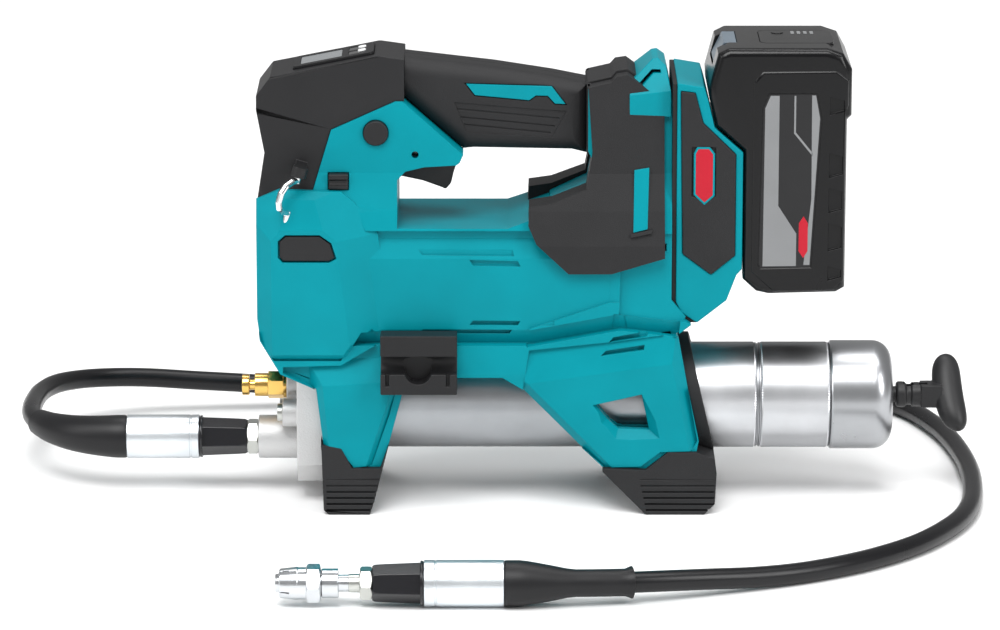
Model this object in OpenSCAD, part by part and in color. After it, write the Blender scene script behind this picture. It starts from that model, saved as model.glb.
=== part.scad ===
// Battery grease gun: a clamshell casing with a carrying handle on top, a grease barrel lying
// through its two legs, a cast pump head at the front and a free hose with a grease coupler.
// X runs along the barrel (front is -X), Y across the tool (near side is -Y), Z is up and the
// feet stand on Z = 0. All sizes are in millimetres.

/* [Casing] */
// Length of the casing, from its front face to the battery mount
case_l = 233; // [225:1:262]
// Width of the casing over the motor
case_w = 82; // [80:1:92]
// Wall of the casing shells
case_wall = 3; // [2.5:0.25:3.5]
// Width of the hand grip
grip_w = 36; // [32:1:42]
// Clear height of the finger gap under the grip
finger_gap = 40; // [36:1:50]
// Thickness of the rubber over-moulding behind the grip
skin = 3; // [2:0.5:4]
// Width of a foot on the ground
foot_w = 103; // [96:1:112]

/* [Barrel] */
// Outer diameter of the grease barrel
barrel_d = 60; // [54:0.5:63]
// Wall of the barrel
barrel_wall = 2.5; // [1.5:0.25:3]
// Height of the barrel axis above the floor
barrel_z = 57; // [52:1:62]
// Length of barrel behind the casing, up to its end cap
barrel_out = 91; // [80:1:110]
// Length of the end cap
cap_l = 36; // [30:1:44]
// Diameter of the follower rod
rod_d = 8; // [6:0.5:10]

/* [Battery] */
// Width of the battery pack
battery_w = 75; // [74:1:84]
// Depth of the battery pack behind its mount
battery_l = 57; // [56:1:66]
// Diameter of one cell
cell_d = 21.2; // [18:0.1:21.3]
// Length of one cell
cell_l = 70; // [65:0.5:71]
// Width over the two battery rails
rail_w = 48; // [40:1:52]

/* [Drive] */
// Outer diameter of the motor stator
stator_d = 54; // [44:1:58]
// Diameter of the motor rotor
rotor_d = 29; // [22:1:32]
// Teeth on the motor pinion
pinion_n = 10; // [9:1:12]
// Teeth on the gear that the motor pinion drives
first_n = 40; // [36:1:41]
// Teeth on the second pinion
second_n = 12; // [10:1:13]
// Radius of the crank
crank_r = 12; // [8:0.5:12.5]
// Diameter of the pump plunger
plunger_d = 8; // [6:0.5:9]

/* [Hose] */
// Outer diameter of the hose
hose_d = 11.5; // [9:0.5:12.5]
// Diameter of the crimped sleeves on the hose
sleeve_d = 25; // [20:0.5:26]
// Bore of the coupler that grips a grease nipple
nipple_d = 6.6; // [6:0.1:7.5]

/* [Hidden] */
$fn = 48;

// Clearances, each between a named pair of pieces
slide_gap = 0.4;      // battery on its mount, and other sliding pieces
run_gap = 0.05;       // a shaft or pin in its bore
free_gap = 0.3;       // moving pieces that pass close by
seat_gap = 0.3;       // barrel in its seats, pump head in the casing
gap_teeth = 0.3;      // gear tip to root, for teeth of module 1

// Stations along the tool and heights over the floor
front_x = -197;
rear_x = front_x + case_l;
case_r = case_w / 2;
barrel_r = barrel_d / 2;
motor_z = barrel_z + 70;
deck_z = motor_z + 36;
grip_z = deck_z + finger_gap;
head_x = front_x + 21.5;      // front face of the pump head
socket_x = head_x + 17.5;     // where the barrel socket starts
pump_x = head_x + 5.5;        // axis of the plunger
mount_x = rear_x + 2.5;
rail_x = rear_x + 39.5;       // face that the rails stand on
back_x = rail_x + slide_gap + battery_l + 3;
cap_x = rear_x + barrel_out;
handle_x = cap_x + cap_l + 0.4;
hose_z = barrel_z - 25;
hose_r = hose_d / 2;
sleeve_r = sleeve_d / 2;
lay_d = (pinion_n + first_n) / 2;       // distance between the two gear axes
second_gear_n = pinion_n + first_n - second_n;
lay_z = motor_z + lay_d;
gear_front_x = head_x + 19.5;           // front wall of the gear case
slope = 11.1;                           // tilt of the display

// The half width of the casing at each height, widest at the legs
function section(more) = [
    [case_r + 2 + more, 0], [case_r + 3 + more, barrel_z - 12], [case_r + 3 + more, barrel_z + 23],
    [case_r + more, motor_z - 15], [case_r + more, motor_z + 27], [case_r - 5 + more, deck_z + 10],
    [case_r - 12 + more, deck_z + 30], [case_r - 15 + more, grip_z + 30],
    [case_r - 17 + more, grip_z + 60]
];
function both_sides(half) = concat(half, [for (i = [len(half) - 1:-1:0]) [-half[i][0], half[i][1]]]);

// Side outlines, as points (X, Z)
body_pts = [
    [front_x, deck_z + 12], [front_x, motor_z - 16], [front_x + 1.5, motor_z - 28],
    [front_x + 13, motor_z - 47], [front_x + 33, barrel_z + 14], [front_x + 37, barrel_z - 18],
    [front_x + 47, barrel_z - 20], [front_x + 53, barrel_z - 31], [front_x + 69, barrel_z - 31],
    [front_x + 74, barrel_z - 17], [front_x + 81, barrel_z + 9.5], [front_x + 82.5, barrel_z + 21],
    [rear_x - 95, barrel_z + 21], [rear_x - 83.5, barrel_z + 14], [rear_x - 51, barrel_z - 19],
    [rear_x - 38.5, barrel_z - 31], [rear_x - 14, barrel_z - 32], [rear_x - 1.5, barrel_z - 22],
    [rear_x + 14.7, barrel_z - 22], [rear_x + 15.8, barrel_z - 16], [rear_x + 3, motor_z - 25],
    [rear_x + 11, motor_z - 19], [rear_x + 2.5, motor_z - 13], [rear_x, motor_z - 6],
    [rear_x, deck_z + 9], [rear_x - 67, deck_z + 9], [rear_x - 92, deck_z], [front_x + 79, deck_z],
    [front_x + 79, deck_z + 12]
];
tower_pts = [
    [front_x, deck_z + 12], [front_x + 12, deck_z + 18], [front_x + 31, deck_z + 18],
    [front_x + 42, grip_z + 14], [front_x + 78, grip_z + 30], [front_x + 82, grip_z + 30],
    [front_x + 116, grip_z], [front_x + 114, grip_z - 4.5], [front_x + 112, grip_z - 6],
    [front_x + 94, grip_z - 7], [front_x + 83.5, grip_z - 9.5], [front_x + 79, grip_z - 14],
    [front_x + 79, deck_z - 5], [front_x, deck_z - 5]
];
column_pts = [
    [rear_x - 70, deck_z - 3], [rear_x - 68, deck_z + 10], [rear_x - 47, deck_z + 20],
    [rear_x - 44, grip_z - 4], [rear_x - 47, grip_z + 2], [rear_x - 47, grip_z + 38],
    [rear_x - 34, grip_z + 41], [rear_x - 25, grip_z + 44], [rear_x - 3, grip_z + 31],
    [rear_x, grip_z + 30], [rear_x, deck_z - 3]
];
cover_pts = [
    [front_x, deck_z + 12], [front_x + 4.5, grip_z + 1], [front_x, grip_z + 25],
    [front_x, grip_z + 33], [front_x + 8, grip_z + 43.5], [front_x + 69, grip_z + 55.5],
    [front_x + 83, grip_z + 53.5], [front_x + 83, grip_z + 30], [front_x + 78, grip_z + 30],
    [front_x + 42, grip_z + 14], [front_x + 31, deck_z + 18], [front_x + 12, deck_z + 18]
];
grip_pts = [
    [front_x + 83, grip_z + 53], [front_x + 83, grip_z + 29.2], [front_x + 116, grip_z],
    [front_x + 122, grip_z + 0.6], [rear_x - 56, grip_z - 0.4], [rear_x - 47, grip_z - 2.6],
    [rear_x - 47, grip_z + 38], [rear_x - 67, grip_z + 42], [front_x + 134, grip_z + 47]
];
rear_cover_pts = [
    [rear_x - 47, grip_z + 38.2], [rear_x - 34, grip_z + 41.2], [rear_x - 31, grip_z + 44.6],
    [rear_x - 25, grip_z + 45.5], [rear_x - 4.5, grip_z + 30.4], [rear_x - 4, deck_z - 16],
    [rear_x - 34, deck_z - 25], [rear_x - 58, deck_z - 25], [rear_x - 76, deck_z - 8],
    [rear_x - 80.5, deck_z + 2], [rear_x - 80, deck_z + 12], [rear_x - 67, deck_z + 14],
    [rear_x - 48, deck_z + 21.7], [rear_x - 44.6, grip_z + 1.3]
];
mount_pts = [
    [mount_x, grip_z + 42.5], [mount_x, motor_z - 7], [rear_x + 5.5, motor_z - 13],
    [rear_x + 14.5, motor_z - 19], [rear_x + 31, motor_z - 6], [rear_x + 36.5, motor_z + 8.7],
    [rail_x, motor_z + 12], [rail_x, grip_z + 3], [rear_x + 23.5, grip_z + 17],
    [rear_x + 19.5, grip_z + 33.5], [rear_x + 17.5, grip_z + 40]
];
gasket_pts = [
    [rear_x, grip_z + 42], [rear_x, motor_z - 6], [rear_x + 2.5, motor_z - 13],
    [rear_x + 11, motor_z - 19], [rear_x + 14.5, motor_z - 19], [rear_x + 5.5, motor_z - 13],
    [mount_x, motor_z - 7], [mount_x, grip_z + 42]
];
battery_pts = [
    [rear_x + 20, grip_z + 40], [rear_x + 25, grip_z + 59], [rear_x + 31, grip_z + 62],
    [back_x - 14, grip_z + 62], [back_x - 5, grip_z + 59], [back_x, grip_z + 50],
    [back_x, grip_z + 24], [back_x - 2.5, grip_z + 21.5], [back_x - 2.5, motor_z + 1.5],
    [back_x - 7.5, motor_z - 1.5], [rail_x + 15, motor_z - 2.5], [rail_x + 8, motor_z - 1],
    [rail_x + slide_gap, motor_z + 6], [rail_x + slide_gap, grip_z + 4],
    [rear_x + 24.2, grip_z + 18], [rear_x + 20.2, grip_z + 34]
];
front_foot_pts = [
    [front_x + 35.5, barrel_z - 15], [front_x + 35.8, barrel_z - 18], [front_x + 37, barrel_z - 18],
    [front_x + 47, barrel_z - 20], [front_x + 53, barrel_z - 31], [front_x + 69, barrel_z - 31],
    [front_x + 74, barrel_z - 17], [front_x + 65.5, 7], [front_x + 63, 0], [front_x + 40, 0],
    [front_x + 37, 2.5]
];
rear_foot_pts = [
    [rear_x - 38.5, barrel_z - 31], [rear_x - 14, barrel_z - 32], [rear_x - 1.5, barrel_z - 22],
    [rear_x + 14.7, barrel_z - 22], [rear_x + 25, barrel_z - 26], [rear_x + 26, barrel_z - 34],
    [rear_x + 25, 6], [rear_x + 19, 0], [rear_x - 14, 0], [rear_x - 38.5, 24]
];
collar_pts = [
    [rear_x + 3, motor_z - 25], [rear_x + 10, motor_z - 30], [rear_x + 25, barrel_z - 24],
    [rear_x + 25, barrel_z - 26], [rear_x + 14.7, barrel_z - 22], [rear_x + 15.8, barrel_z - 16]
];
hook_pts = [
    [rear_x - 24, grip_z + 24], [rear_x - 24, grip_z + 40], [rear_x - 11, grip_z + 52.5],
    [rear_x - 8, grip_z + 53], [rear_x - 3.5, grip_z + 49], [rear_x - 0.5, grip_z + 36],
    [rear_x - 0.5, grip_z + 22]
];

// Hose route, point by point, from the rear sleeve round behind the tool to the front sleeve.
// The first boot covers it up to boot_end, the second one from boot_start on.
route = [
    [-274, 0, 32], [-282, 0, 32], [-296, 3, 32], [-308, 9, 32], [-319, 19, 32], [-327, 31, 32],
    [-332, 45, 32], [-334, 62, 32], [-334, 85, 31], [-332, 108, 30], [-325, 130, 29],
    [-312, 148, 27], [-294, 160, 25], [-272, 167, 23], [-245, 172, 20], [-215, 177, 17],
    [-180, 183, 13], [-145, 189, 9], [-110, 195, 7], [-75, 200, 6], [-40, 203, 6], [0, 205, 6],
    [40, 206, 6], [80, 206, 6], [115, 203, 6], [145, 195, 6], [168, 180, 6], [185, 158, 6],
    [196, 130, 6], [204, 98, 6], [209, 60, 6], [211, 25, 6], [210, -12, 6], [206, -48, 6],
    [198, -78, 6], [186, -104, 6], [170, -129, 6], [150, -151, 6], [128, -169, 6],
    [103, -184, 6], [77, -196, 7], [52, -206, 9], [30, -214, 10.5], [10, -220, 11.5],
    [-10, -224, 12.3], [-30, -226, 12.8], [-50, -226, 12.8], [-58, -226, 12.8]
];
boot_end = 5;
boot_start = 43;
coupler_at = route[len(route) - 1];

// A block whose outline is drawn in X and Z, from y0 to y1
module side_block(pts, y0, y1) {
    translate([0, y1, 0]) rotate([90, 0, 0]) linear_extrude(y1 - y0) polygon(pts);
}

// A block whose outline is drawn in Y and Z, from x0 to x1
module front_block(pts, x0, x1) {
    translate([x0, 0, 0]) rotate([90, 0, 90]) linear_extrude(x1 - x0) polygon(pts);
}

// A cylinder along X, Y or Z from one station to the next
module rod_x(x0, x1, r, y = 0, z = 0) {
    translate([x0, y, z]) rotate([0, 90, 0]) cylinder(r = r, h = x1 - x0);
}
module rod_y(y0, y1, r, x = 0, z = 0) {
    translate([x, y1, z]) rotate([90, 0, 0]) cylinder(r = r, h = y1 - y0);
}
module hex_x(x0, x1, across, y = 0, z = 0) {
    translate([x0, y, z]) rotate([0, 90, 0]) cylinder(d = across / cos(30), h = x1 - x0, $fn = 6);
}
module block(x0, x1, y0, y1, z0, z1) {
    translate([x0, y0, z0]) cube([x1 - x0, y1 - y0, z1 - z0]);
}
module mirrored_y() {
    children();
    mirror([0, 1, 0]) children();
}
module near_half() {
    intersection() {
        children();
        block(-400, 400, -200, 0, -10, 400);
    }
}
module far_half() {
    intersection() {
        children();
        block(-400, 400, 0, 200, -10, 400);
    }
}

// A tube along points i0 to i1 of a route, with a radius at each point and flat ends. across is
// a direction that the route never runs along.
function unit(v) = v / norm(v);
function tangent(p, i) = unit(p[min(i + 1, len(p) - 1)] - p[max(i - 1, 0)]);
function ring(p, i, r, n, across) =
    let (t = tangent(p, i), side = unit(cross(t, across)), up = cross(side, t))
    [for (k = [0:n - 1]) p[i] + r * (cos(360 * k / n) * side + sin(360 * k / n) * up)];
module swept(p, i0, i1, radii, n = 10, across = [0, 0, 1]) {
    last = i1 - i0;
    pts = [for (i = [0:last]) each ring(p, i0 + i, radii[i], n, across)];
    walls = [for (i = [0:last - 1], k = [0:n - 1])
        [i * n + k, i * n + (k + 1) % n, (i + 1) * n + (k + 1) % n, (i + 1) * n + k]];
    ends = [[for (k = [n - 1:-1:0]) k], [for (k = [0:n - 1]) last * n + k]];
    polyhedron(pts, concat(walls, ends), convexity = 10);
}

// Casing
module casing_outline() {
    polygon(body_pts);
    polygon(tower_pts);
    polygon(column_pts);
}
module casing_block() {
    intersection() {
        union() {
            side_block(body_pts, -80, 80);
            side_block(tower_pts, -80, 80);
            side_block(column_pts, -80, 80);
        }
        front_block(both_sides(section(0)), front_x - 10, mount_x + 60);
    }
}
module casing_room() {
    difference() {
        intersection() {
            translate([0, 80, 0]) rotate([90, 0, 0]) linear_extrude(160)
                offset(delta = -case_wall) casing_outline();
            front_block(both_sides(section(-case_wall)), front_x, mount_x + 60);
        }
        rod_x(head_x, rear_x + 60, barrel_r + seat_gap + case_wall - 0.5, 0, barrel_z);
        motor_cradles();
        for (p = screw_places) rod_y(-80, 80, 4.5, p[0], p[1]);
        trigger_bosses();
    }
}
module motor_cradles() {
    for (x = [stator_x + 14, end_x]) difference() {
        block(x, x + 4, -80, 80, barrel_z, deck_z + 20);
        rod_x(x - 1, x + 5, stator_d / 2 + run_gap, 0, motor_z);
    }
    difference() {
        block(gear_front_x + 12, gear_front_x + 16, -80, 80, barrel_z, deck_z + 20);
        gear_case_shape(gear_front_x + 11, gear_front_x + 17, gear_case_r + run_gap);
    }
}
module trigger_bosses() {
    mirrored_y() {
        rod_y(-80, -trigger_w / 2 - free_gap, 5, trigger_pivot[0], trigger_pivot[1]);
        block(switch_x + 4, switch_x + 8, -80, -switch_w / 2, grip_z + 4, grip_z + 20);
    }
}
screw_places = [
    [front_x + 9, motor_z - 14], [front_x + 10, deck_z + 4], [rear_x - 12, motor_z - 18],
    [rear_x - 12, deck_z + 30], [rear_x - 69, deck_z - 8]
];
screw_reach = 20;
module louvres() {
    for (v = [[front_x + 92, front_x + 144, motor_z + 23], [front_x + 119, front_x + 170, motor_z + 17],
              [front_x + 117, front_x + 167, motor_z - 18], [front_x + 92, front_x + 144, motor_z - 24]])
        block(v[0], v[1], -80, 80, v[2] - 1.2, v[2] + 1.2);
}
window_pts = [
    [rear_x - 41, barrel_z + 6], [rear_x - 17, barrel_z + 11], [rear_x - 12, barrel_z - 10],
    [rear_x - 27, barrel_z - 10], [rear_x - 34, barrel_z - 6]
];
module casing() {
    difference() {
        casing_block();
        casing_room();
        rod_x(head_x - 60, rear_x + 60, barrel_r + seat_gap, 0, barrel_z);
        head_room();
        louvres();
        side_block(window_pts, -80, 80);
        side_block(hook_pts, -hook_w / 2, hook_w / 2);
        trigger_slot();
        switch_room();
        rod_y(-80, 80, pin_d / 2, trigger_pivot[0], trigger_pivot[1]);
        rod_y(-80, 80, lock_r + free_gap, lock_at[0], lock_at[1]);
        block(slide_at[0] - 6, slide_at[0] + 6, -80, 0, slide_at[1] - 4.8, slide_at[1] + 4.8);
        display_room();
        for (p = screw_places) {
            rod_y(-screw_reach, 80, 1.5, p[0], p[1]);
            rod_y(16, 80, 3.7, p[0], p[1]);
        }
        block(rear_x - case_wall - 2, rear_x + 2, -8, 8, motor_z + 5, motor_z + 20);
    }
}
module head_room() {
    front_block(head_outline(seat_gap), head_x - 60, socket_x + seat_gap);
    rod_x(socket_x - 1, socket_x + 18.5, barrel_r + 3.4, 0, barrel_z);
}
module display_room() {
    block(front_x + 20, front_x + 70, -10, 10, deck_z + 10, grip_z + 40);
}

// Boss that one end of the strap ring turns in, above (up = 1) or below (up = -1)
module ring_boss(up, reach) {
    ring_place() difference() {
        union() {
            translate([0, 0, up * 15 - 3]) cylinder(r = 4.4, h = 6);
            translate([0, 0, up * 15 - 3]) block(-3, 3, 0, reach, 0, 6);
        }
        translate([0, 0, up > 0 ? 11 : -16.5]) cylinder(r = ring_r + 2 * run_gap, h = 5.5);
    }
}
module housing_near() {
    color("darkcyan") {
        near_half() casing();
        ring_boss(-1, 10);
    }
}
module housing_far() {
    color("darkcyan") far_half() casing();
}

// Display cover on the front of the tower, and what sits in it
module display_cover() {
    color("#2b2b2d") ring_boss(1, 17);
    color("#2b2b2d") difference() {
        intersection() {
            side_block(cover_pts, -40, 40);
            front_block(both_sides(section(-1)), front_x - 10, front_x + 100);
        }
        intersection() {
            translate([0, 80, 0]) rotate([90, 0, 0]) linear_extrude(160)
                offset(delta = -case_wall) polygon(cover_pts);
            front_block(both_sides(section(-1 - case_wall)), front_x, front_x + 100);
        }
        display_room();
        panel_place() block(-panel_l / 2, panel_l / 2, -panel_w / 2, panel_w / 2, -panel_t, 10);
        for (y = button_ys) panel_place() translate([panel_l / 2 - 5, y, -4]) cylinder(r = 2.6, h = 8);
    }
}
panel_l = 46;
panel_w = 30;
panel_t = 1.6;
button_ys = [-5, 5];
module panel_place() {
    translate([front_x + 8, 0, grip_z + 43.5]) rotate([0, -slope, 0]) translate([36, 0, 0])
        children();
}
module display_panel() {
    color("#8f949b") panel_place() difference() {
        block(-panel_l / 2, panel_l / 2, -panel_w / 2, panel_w / 2, -panel_t, 0);
        for (y = button_ys) translate([panel_l / 2 - 5, y, -4]) cylinder(r = 2 + free_gap, h = 8);
    }
}
module display_button(y) {
    color("white") panel_place() translate([panel_l / 2 - 5, y, -panel_t - 1]) {
        cylinder(r = 2, h = panel_t + 1.8);
        translate([0, 0, -1.2]) cylinder(r = 2.4, h = 1.2);
    }
}
module mode_button() { display_button(button_ys[0]); }
module menu_button() { display_button(button_ys[1]); }

// Grip and the rubber behind it
module grip() {
    r = grip_w / 2;
    difference() {
        intersection() {
            side_block(grip_pts, -r, r);
            front_block([[-r, grip_z + 7], [-r + 7, grip_z - 5], [r - 7, grip_z - 5], [r, grip_z + 7],
                [r, grip_z + 36], [r - 9, grip_z + 54], [-r + 9, grip_z + 54], [-r, grip_z + 36]],
                front_x, rear_x);
        }
        intersection() {
            translate([0, 80, 0]) rotate([90, 0, 0]) linear_extrude(160)
                offset(delta = -4) polygon(grip_pts);
            block(front_x, rear_x, -r + 4, r - 4, grip_z, grip_z + 42);
        }
        switch_room();
    }
}
module grip_near() { color("#333335") near_half() grip(); }
module grip_far() { color("#333335") far_half() grip(); }
module rear_cover() {
    difference() {
        intersection() {
            side_block(rear_cover_pts, -80, 80);
            front_block(both_sides(section(skin)), rear_x - 100, rear_x);
        }
        casing_block();
        side_block(grip_pts, -grip_w / 2, grip_w / 2);
        side_block(hook_pts, -hook_w / 2, hook_w / 2);
        block(rear_x - 100, rear_x, -case_r + 24, case_r - 24, deck_z, grip_z + 60);
    }
}
module rear_cover_near() { color("#2e2e30") near_half() rear_cover(); }
module rear_cover_far() { color("#2e2e30") far_half() rear_cover(); }

// Battery mount with its two rails
mount_r = battery_w / 2 - 1.5;
rail_r = rail_w / 2;
module seam_gasket() {
    color("black") difference() {
        side_block(gasket_pts, -mount_r + 1, mount_r - 1);
        block(rear_x - 1, mount_x + 1, -mount_r + 4, mount_r - 4, motor_z + 2, grip_z + 28);
    }
}
module battery_mount() {
    color("darkcyan") {
        difference() {
            side_block(mount_pts, -mount_r, mount_r);
            block(mount_x - 1, rail_x - 4, -mount_r + 4, mount_r - 4, motor_z + 6, grip_z - 4);
            mirrored_y() translate([0, -mount_r, 0]) side_block(bumper_pts, -1, 2);
        }
        mirrored_y() {
            block(rail_x, rail_x + 7, rail_r - 10, rail_r - 5, motor_z + 16, grip_z);
            block(rail_x + 4, rail_x + 7, rail_r - 5, rail_r - slide_gap, motor_z + 16, grip_z);
        }
    }
}
bumper_pts = [
    [mount_x + 2, grip_z + 38], [mount_x + 10, grip_z + 37], [rear_x + 17, grip_z + 20],
    [rail_x - 4, grip_z + 2], [rail_x - 4, motor_z + 20], [rear_x + 22, motor_z + 9],
    [rear_x + 6, motor_z + 21]
];
module mount_bumpers() {
    color("#2b2b2d") mirrored_y() difference() {
        translate([0, -mount_r, 0]) side_block(bumper_pts, -1, 2);
        block(rear_x + 11, rear_x + 24, -mount_r - 2, -mount_r, grip_z - 22, grip_z + 6);
    }
}
module badges() {
    color("firebrick") mirrored_y()
        block(rear_x + 11.5, rear_x + 23.5, -mount_r - 0.8, -mount_r, grip_z - 21.5, grip_z + 5.5);
}
module terminal_block() {
    color("#222222") {
        block(rail_x, rail_x + 5, -9, 9, motor_z + 20, motor_z + 46);
        for (y = [-6, 0, 6]) block(rail_x + 5, rail_x + 7, y - 0.5, y + 0.5, motor_z + 22, motor_z + 44);
    }
}

// Strap points
hook_w = 28;
module strap_hook() {
    color("darkcyan") difference() {
        side_block(hook_pts, -hook_w / 2, hook_w / 2);
        block(rear_x - 19, rear_x - 5.5, -hook_w, hook_w, grip_z + 39, grip_z + 45);
    }
}
ring_tilt = 16.3;
ring_r = 1.9;
module ring_place() {
    translate([front_x + 20.5, -case_r - 1, deck_z + 19]) rotate([0, ring_tilt, 0]) children();
}
module strap_ring() {
    bow = [[0, 0, 9.7], [4, 0, 9.2], [9, 0, 6.6], [11.5, 0, 2.5], [11.5, 0, -2.5], [9, 0, -6.6],
        [4, 0, -9.2], [0, 0, -9.7]];
    color("silver") ring_place() rotate([0, 0, -125]) {
        swept(bow, 0, len(bow) - 1, [for (p = bow) ring_r], 12, [0, 1, 0]);
        for (z = [-16, 8.4]) translate([0, 0, z]) cylinder(r = ring_r, h = 7.6);
    }
}
module side_bumpers() {
    pts = [[front_x + 17, motor_z + 33], [front_x + 35, motor_z + 33], [front_x + 41, motor_z + 28],
        [front_x + 44, motor_z + 21], [front_x + 41, motor_z + 19], [front_x + 15, motor_z + 19],
        [front_x + 13, motor_z + 21], [front_x + 13, motor_z + 30]];
    color("#2b2b2d") mirrored_y() difference() {
        side_block(pts, -case_r - 3, -case_r + 6);
        casing_block();
    }
}

// Clip on the near leg that parks the hose
holder_x = front_x + 69.5;
module hose_holder() {
    z = barrel_z + 31;
    y = -case_r - 9.5;
    color("#2b2b2d") difference() {
        block(holder_x, holder_x + 43, y - 5, -case_r + 4, z - 17, z + 17);
        casing_block();
        rod_x(holder_x - 1, holder_x + 44, hose_r, y, z);
        block(holder_x - 1, holder_x + 44, y - 6, y, z - hose_r + 0.6, z + hose_r - 0.6);
        rod_y(y, y + 20, 2, holder_x + 21, z);
    }
}

// Feet and the collar round the barrel
foot_r = foot_w / 2;
module foot(pts) {
    intersection() {
        difference() {
            side_block(pts, -foot_r, foot_r);
            rod_x(head_x - 60, rear_x + 60, barrel_r + seat_gap, 0, barrel_z);
            head_room();
        }
        front_block([[-foot_r, 0], [foot_r, 0], [case_r + 4, barrel_z - 15],
            [-case_r - 4, barrel_z - 15]], front_x, rear_x + 60);
    }
}
module front_foot() { color("#262628") foot(front_foot_pts); }
module rear_foot() { color("#262628") foot(rear_foot_pts); }
module barrel_collar() {
    color("#262628") difference() {
        intersection() {
            side_block(collar_pts, -60, 60);
            rod_x(rear_x - 10, rear_x + 60, barrel_r + 6, 0, barrel_z);
        }
        rod_x(rear_x - 20, rear_x + 70, barrel_r + free_gap, 0, barrel_z);
        foot(rear_foot_pts);
    }
}
module housing_screws() {
    color("gray") for (p = screw_places) {
        rod_y(-screw_reach, 17, 1.5, p[0], p[1]);
        difference() {
            rod_y(16, 19, 3.4, p[0], p[1]);
            rod_y(18, 20, 1.5, p[0], p[1]);
        }
    }
}

// Trigger, switch and lock
trigger_w = 18;
trigger_pivot = [front_x + 89, grip_z];
pin_d = 4;
switch_x = front_x + 92;
switch_w = 20;
module trigger_slot() {
    block(front_x + 78, front_x + 118, -trigger_w / 2 - free_gap, trigger_w / 2 + free_gap,
        grip_z - 17, grip_z + 1);
}
module trigger() {
    color("#1f1f21") difference() {
        union() {
            side_block([[front_x + 79, grip_z - 16], [front_x + 83, grip_z - 12],
                [front_x + 84, grip_z + 1], [front_x + 90, grip_z + 4], [front_x + 95, grip_z],
                [front_x + 95, grip_z - 10.5], [front_x + 112, grip_z - 9.5],
                [front_x + 110.5, grip_z - 14], [front_x + 109, grip_z - 20.5],
                [front_x + 106, grip_z - 24], [front_x + 104, grip_z - 23],
                [front_x + 93, grip_z - 19]], -trigger_w / 2, trigger_w / 2);
            rod_y(-trigger_w / 2, trigger_w / 2, 5, trigger_pivot[0], trigger_pivot[1]);
        }
        rod_y(-80, 80, pin_d / 2 + run_gap, trigger_pivot[0], trigger_pivot[1]);
    }
}
module trigger_pin() {
    color("silver") rod_y(-trigger_w / 2 - 8, trigger_w / 2 + 8, pin_d / 2, trigger_pivot[0],
        trigger_pivot[1]);
}
module switch_room() {
    block(switch_x, switch_x + 18, -switch_w / 2, switch_w / 2, grip_z + 5.5, grip_z + 24);
}
module switch() {
    color("#444444") difference() {
        switch_room();
        rod_y(-40, 40, 6.5, trigger_pivot[0], trigger_pivot[1]);
    }
}
lock_r = 7;
lock_at = [front_x + 67, grip_z + 12.5];
lock_out = 2;
module lock_button() {
    r = case_r - 12 - 1.1;
    color("#1f1f21") rod_y(-r - lock_out, r + lock_out, lock_r, lock_at[0], lock_at[1]);
}
slide_at = [front_x + 46, deck_z + 25.5];
module lock_slide() {
    y = -case_r + 10.5;
    color("#1f1f21") {
        block(slide_at[0] - 5.6, slide_at[0] + 5.6, y - 3, y + 7, slide_at[1] - 4.4, slide_at[1] + 4.4);
    }
}

// Electrics and motor
stator_x = head_x + 67;
end_x = stator_x + 64;
module controller() {
    floor_z = barrel_z + barrel_r + seat_gap + case_wall - 0.5 + free_gap;
    color("#3a6b3a") {
        block(rear_x - 62, rear_x - 26, -22, 22, floor_z, floor_z + 10);
        block(rear_x - 56, rear_x - 32, -18, 18, floor_z + 10, floor_z + 16);
    }
}
module motor_stator() {
    color("#7a4a2a") difference() {
        rod_x(stator_x, stator_x + 38, stator_d / 2, 0, motor_z);
        rod_x(stator_x - 1, stator_x + 39, rotor_d / 2 + free_gap, 0, motor_z);
    }
}
shaft_r = 2.5;
module motor_rotor() {
    color("#777777") {
        rod_x(gear_front_x + 12, end_x + 4, shaft_r, 0, motor_z);
        rod_x(stator_x + 1, stator_x + 37, rotor_d / 2, 0, motor_z);
        tooth_wheel(gear_front_x + 17, gear_front_x + 26, pinion_n, 90, motor_z);
        rod_x(stator_x + 44, stator_x + 47, 22, 0, motor_z);
        for (k = [0:8]) translate([stator_x + 46, 0, motor_z]) rotate([40 * k + 10, 0, 0])
            block(0, 8, -0.8, 0.8, 5, 21);
        rod_x(stator_x + 46, stator_x + 55, 6, 0, motor_z);
    }
}
module bearing(x0, x1, r_in, r_out, z) {
    difference() {
        rod_x(x0, x1, r_out, 0, z);
        rod_x(x0 - 1, x1 + 1, r_in + run_gap, 0, z);
    }
}
module bearings() {
    color("silver") {
        bearing(gear_front_x, gear_front_x + 5, crank_shaft_r, 11, motor_z);
        bearing(gear_front_x, gear_front_x + 3, lay_r, 6, lay_z);
        bearing(gear_back_x - 4, gear_back_x, lay_r, 6, lay_z);
        bearing(gear_back_x - 4, gear_back_x, shaft_r, 8, motor_z);
        bearing(end_x, end_x + 4, shaft_r, stator_d / 2, motor_z);
    }
}

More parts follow.
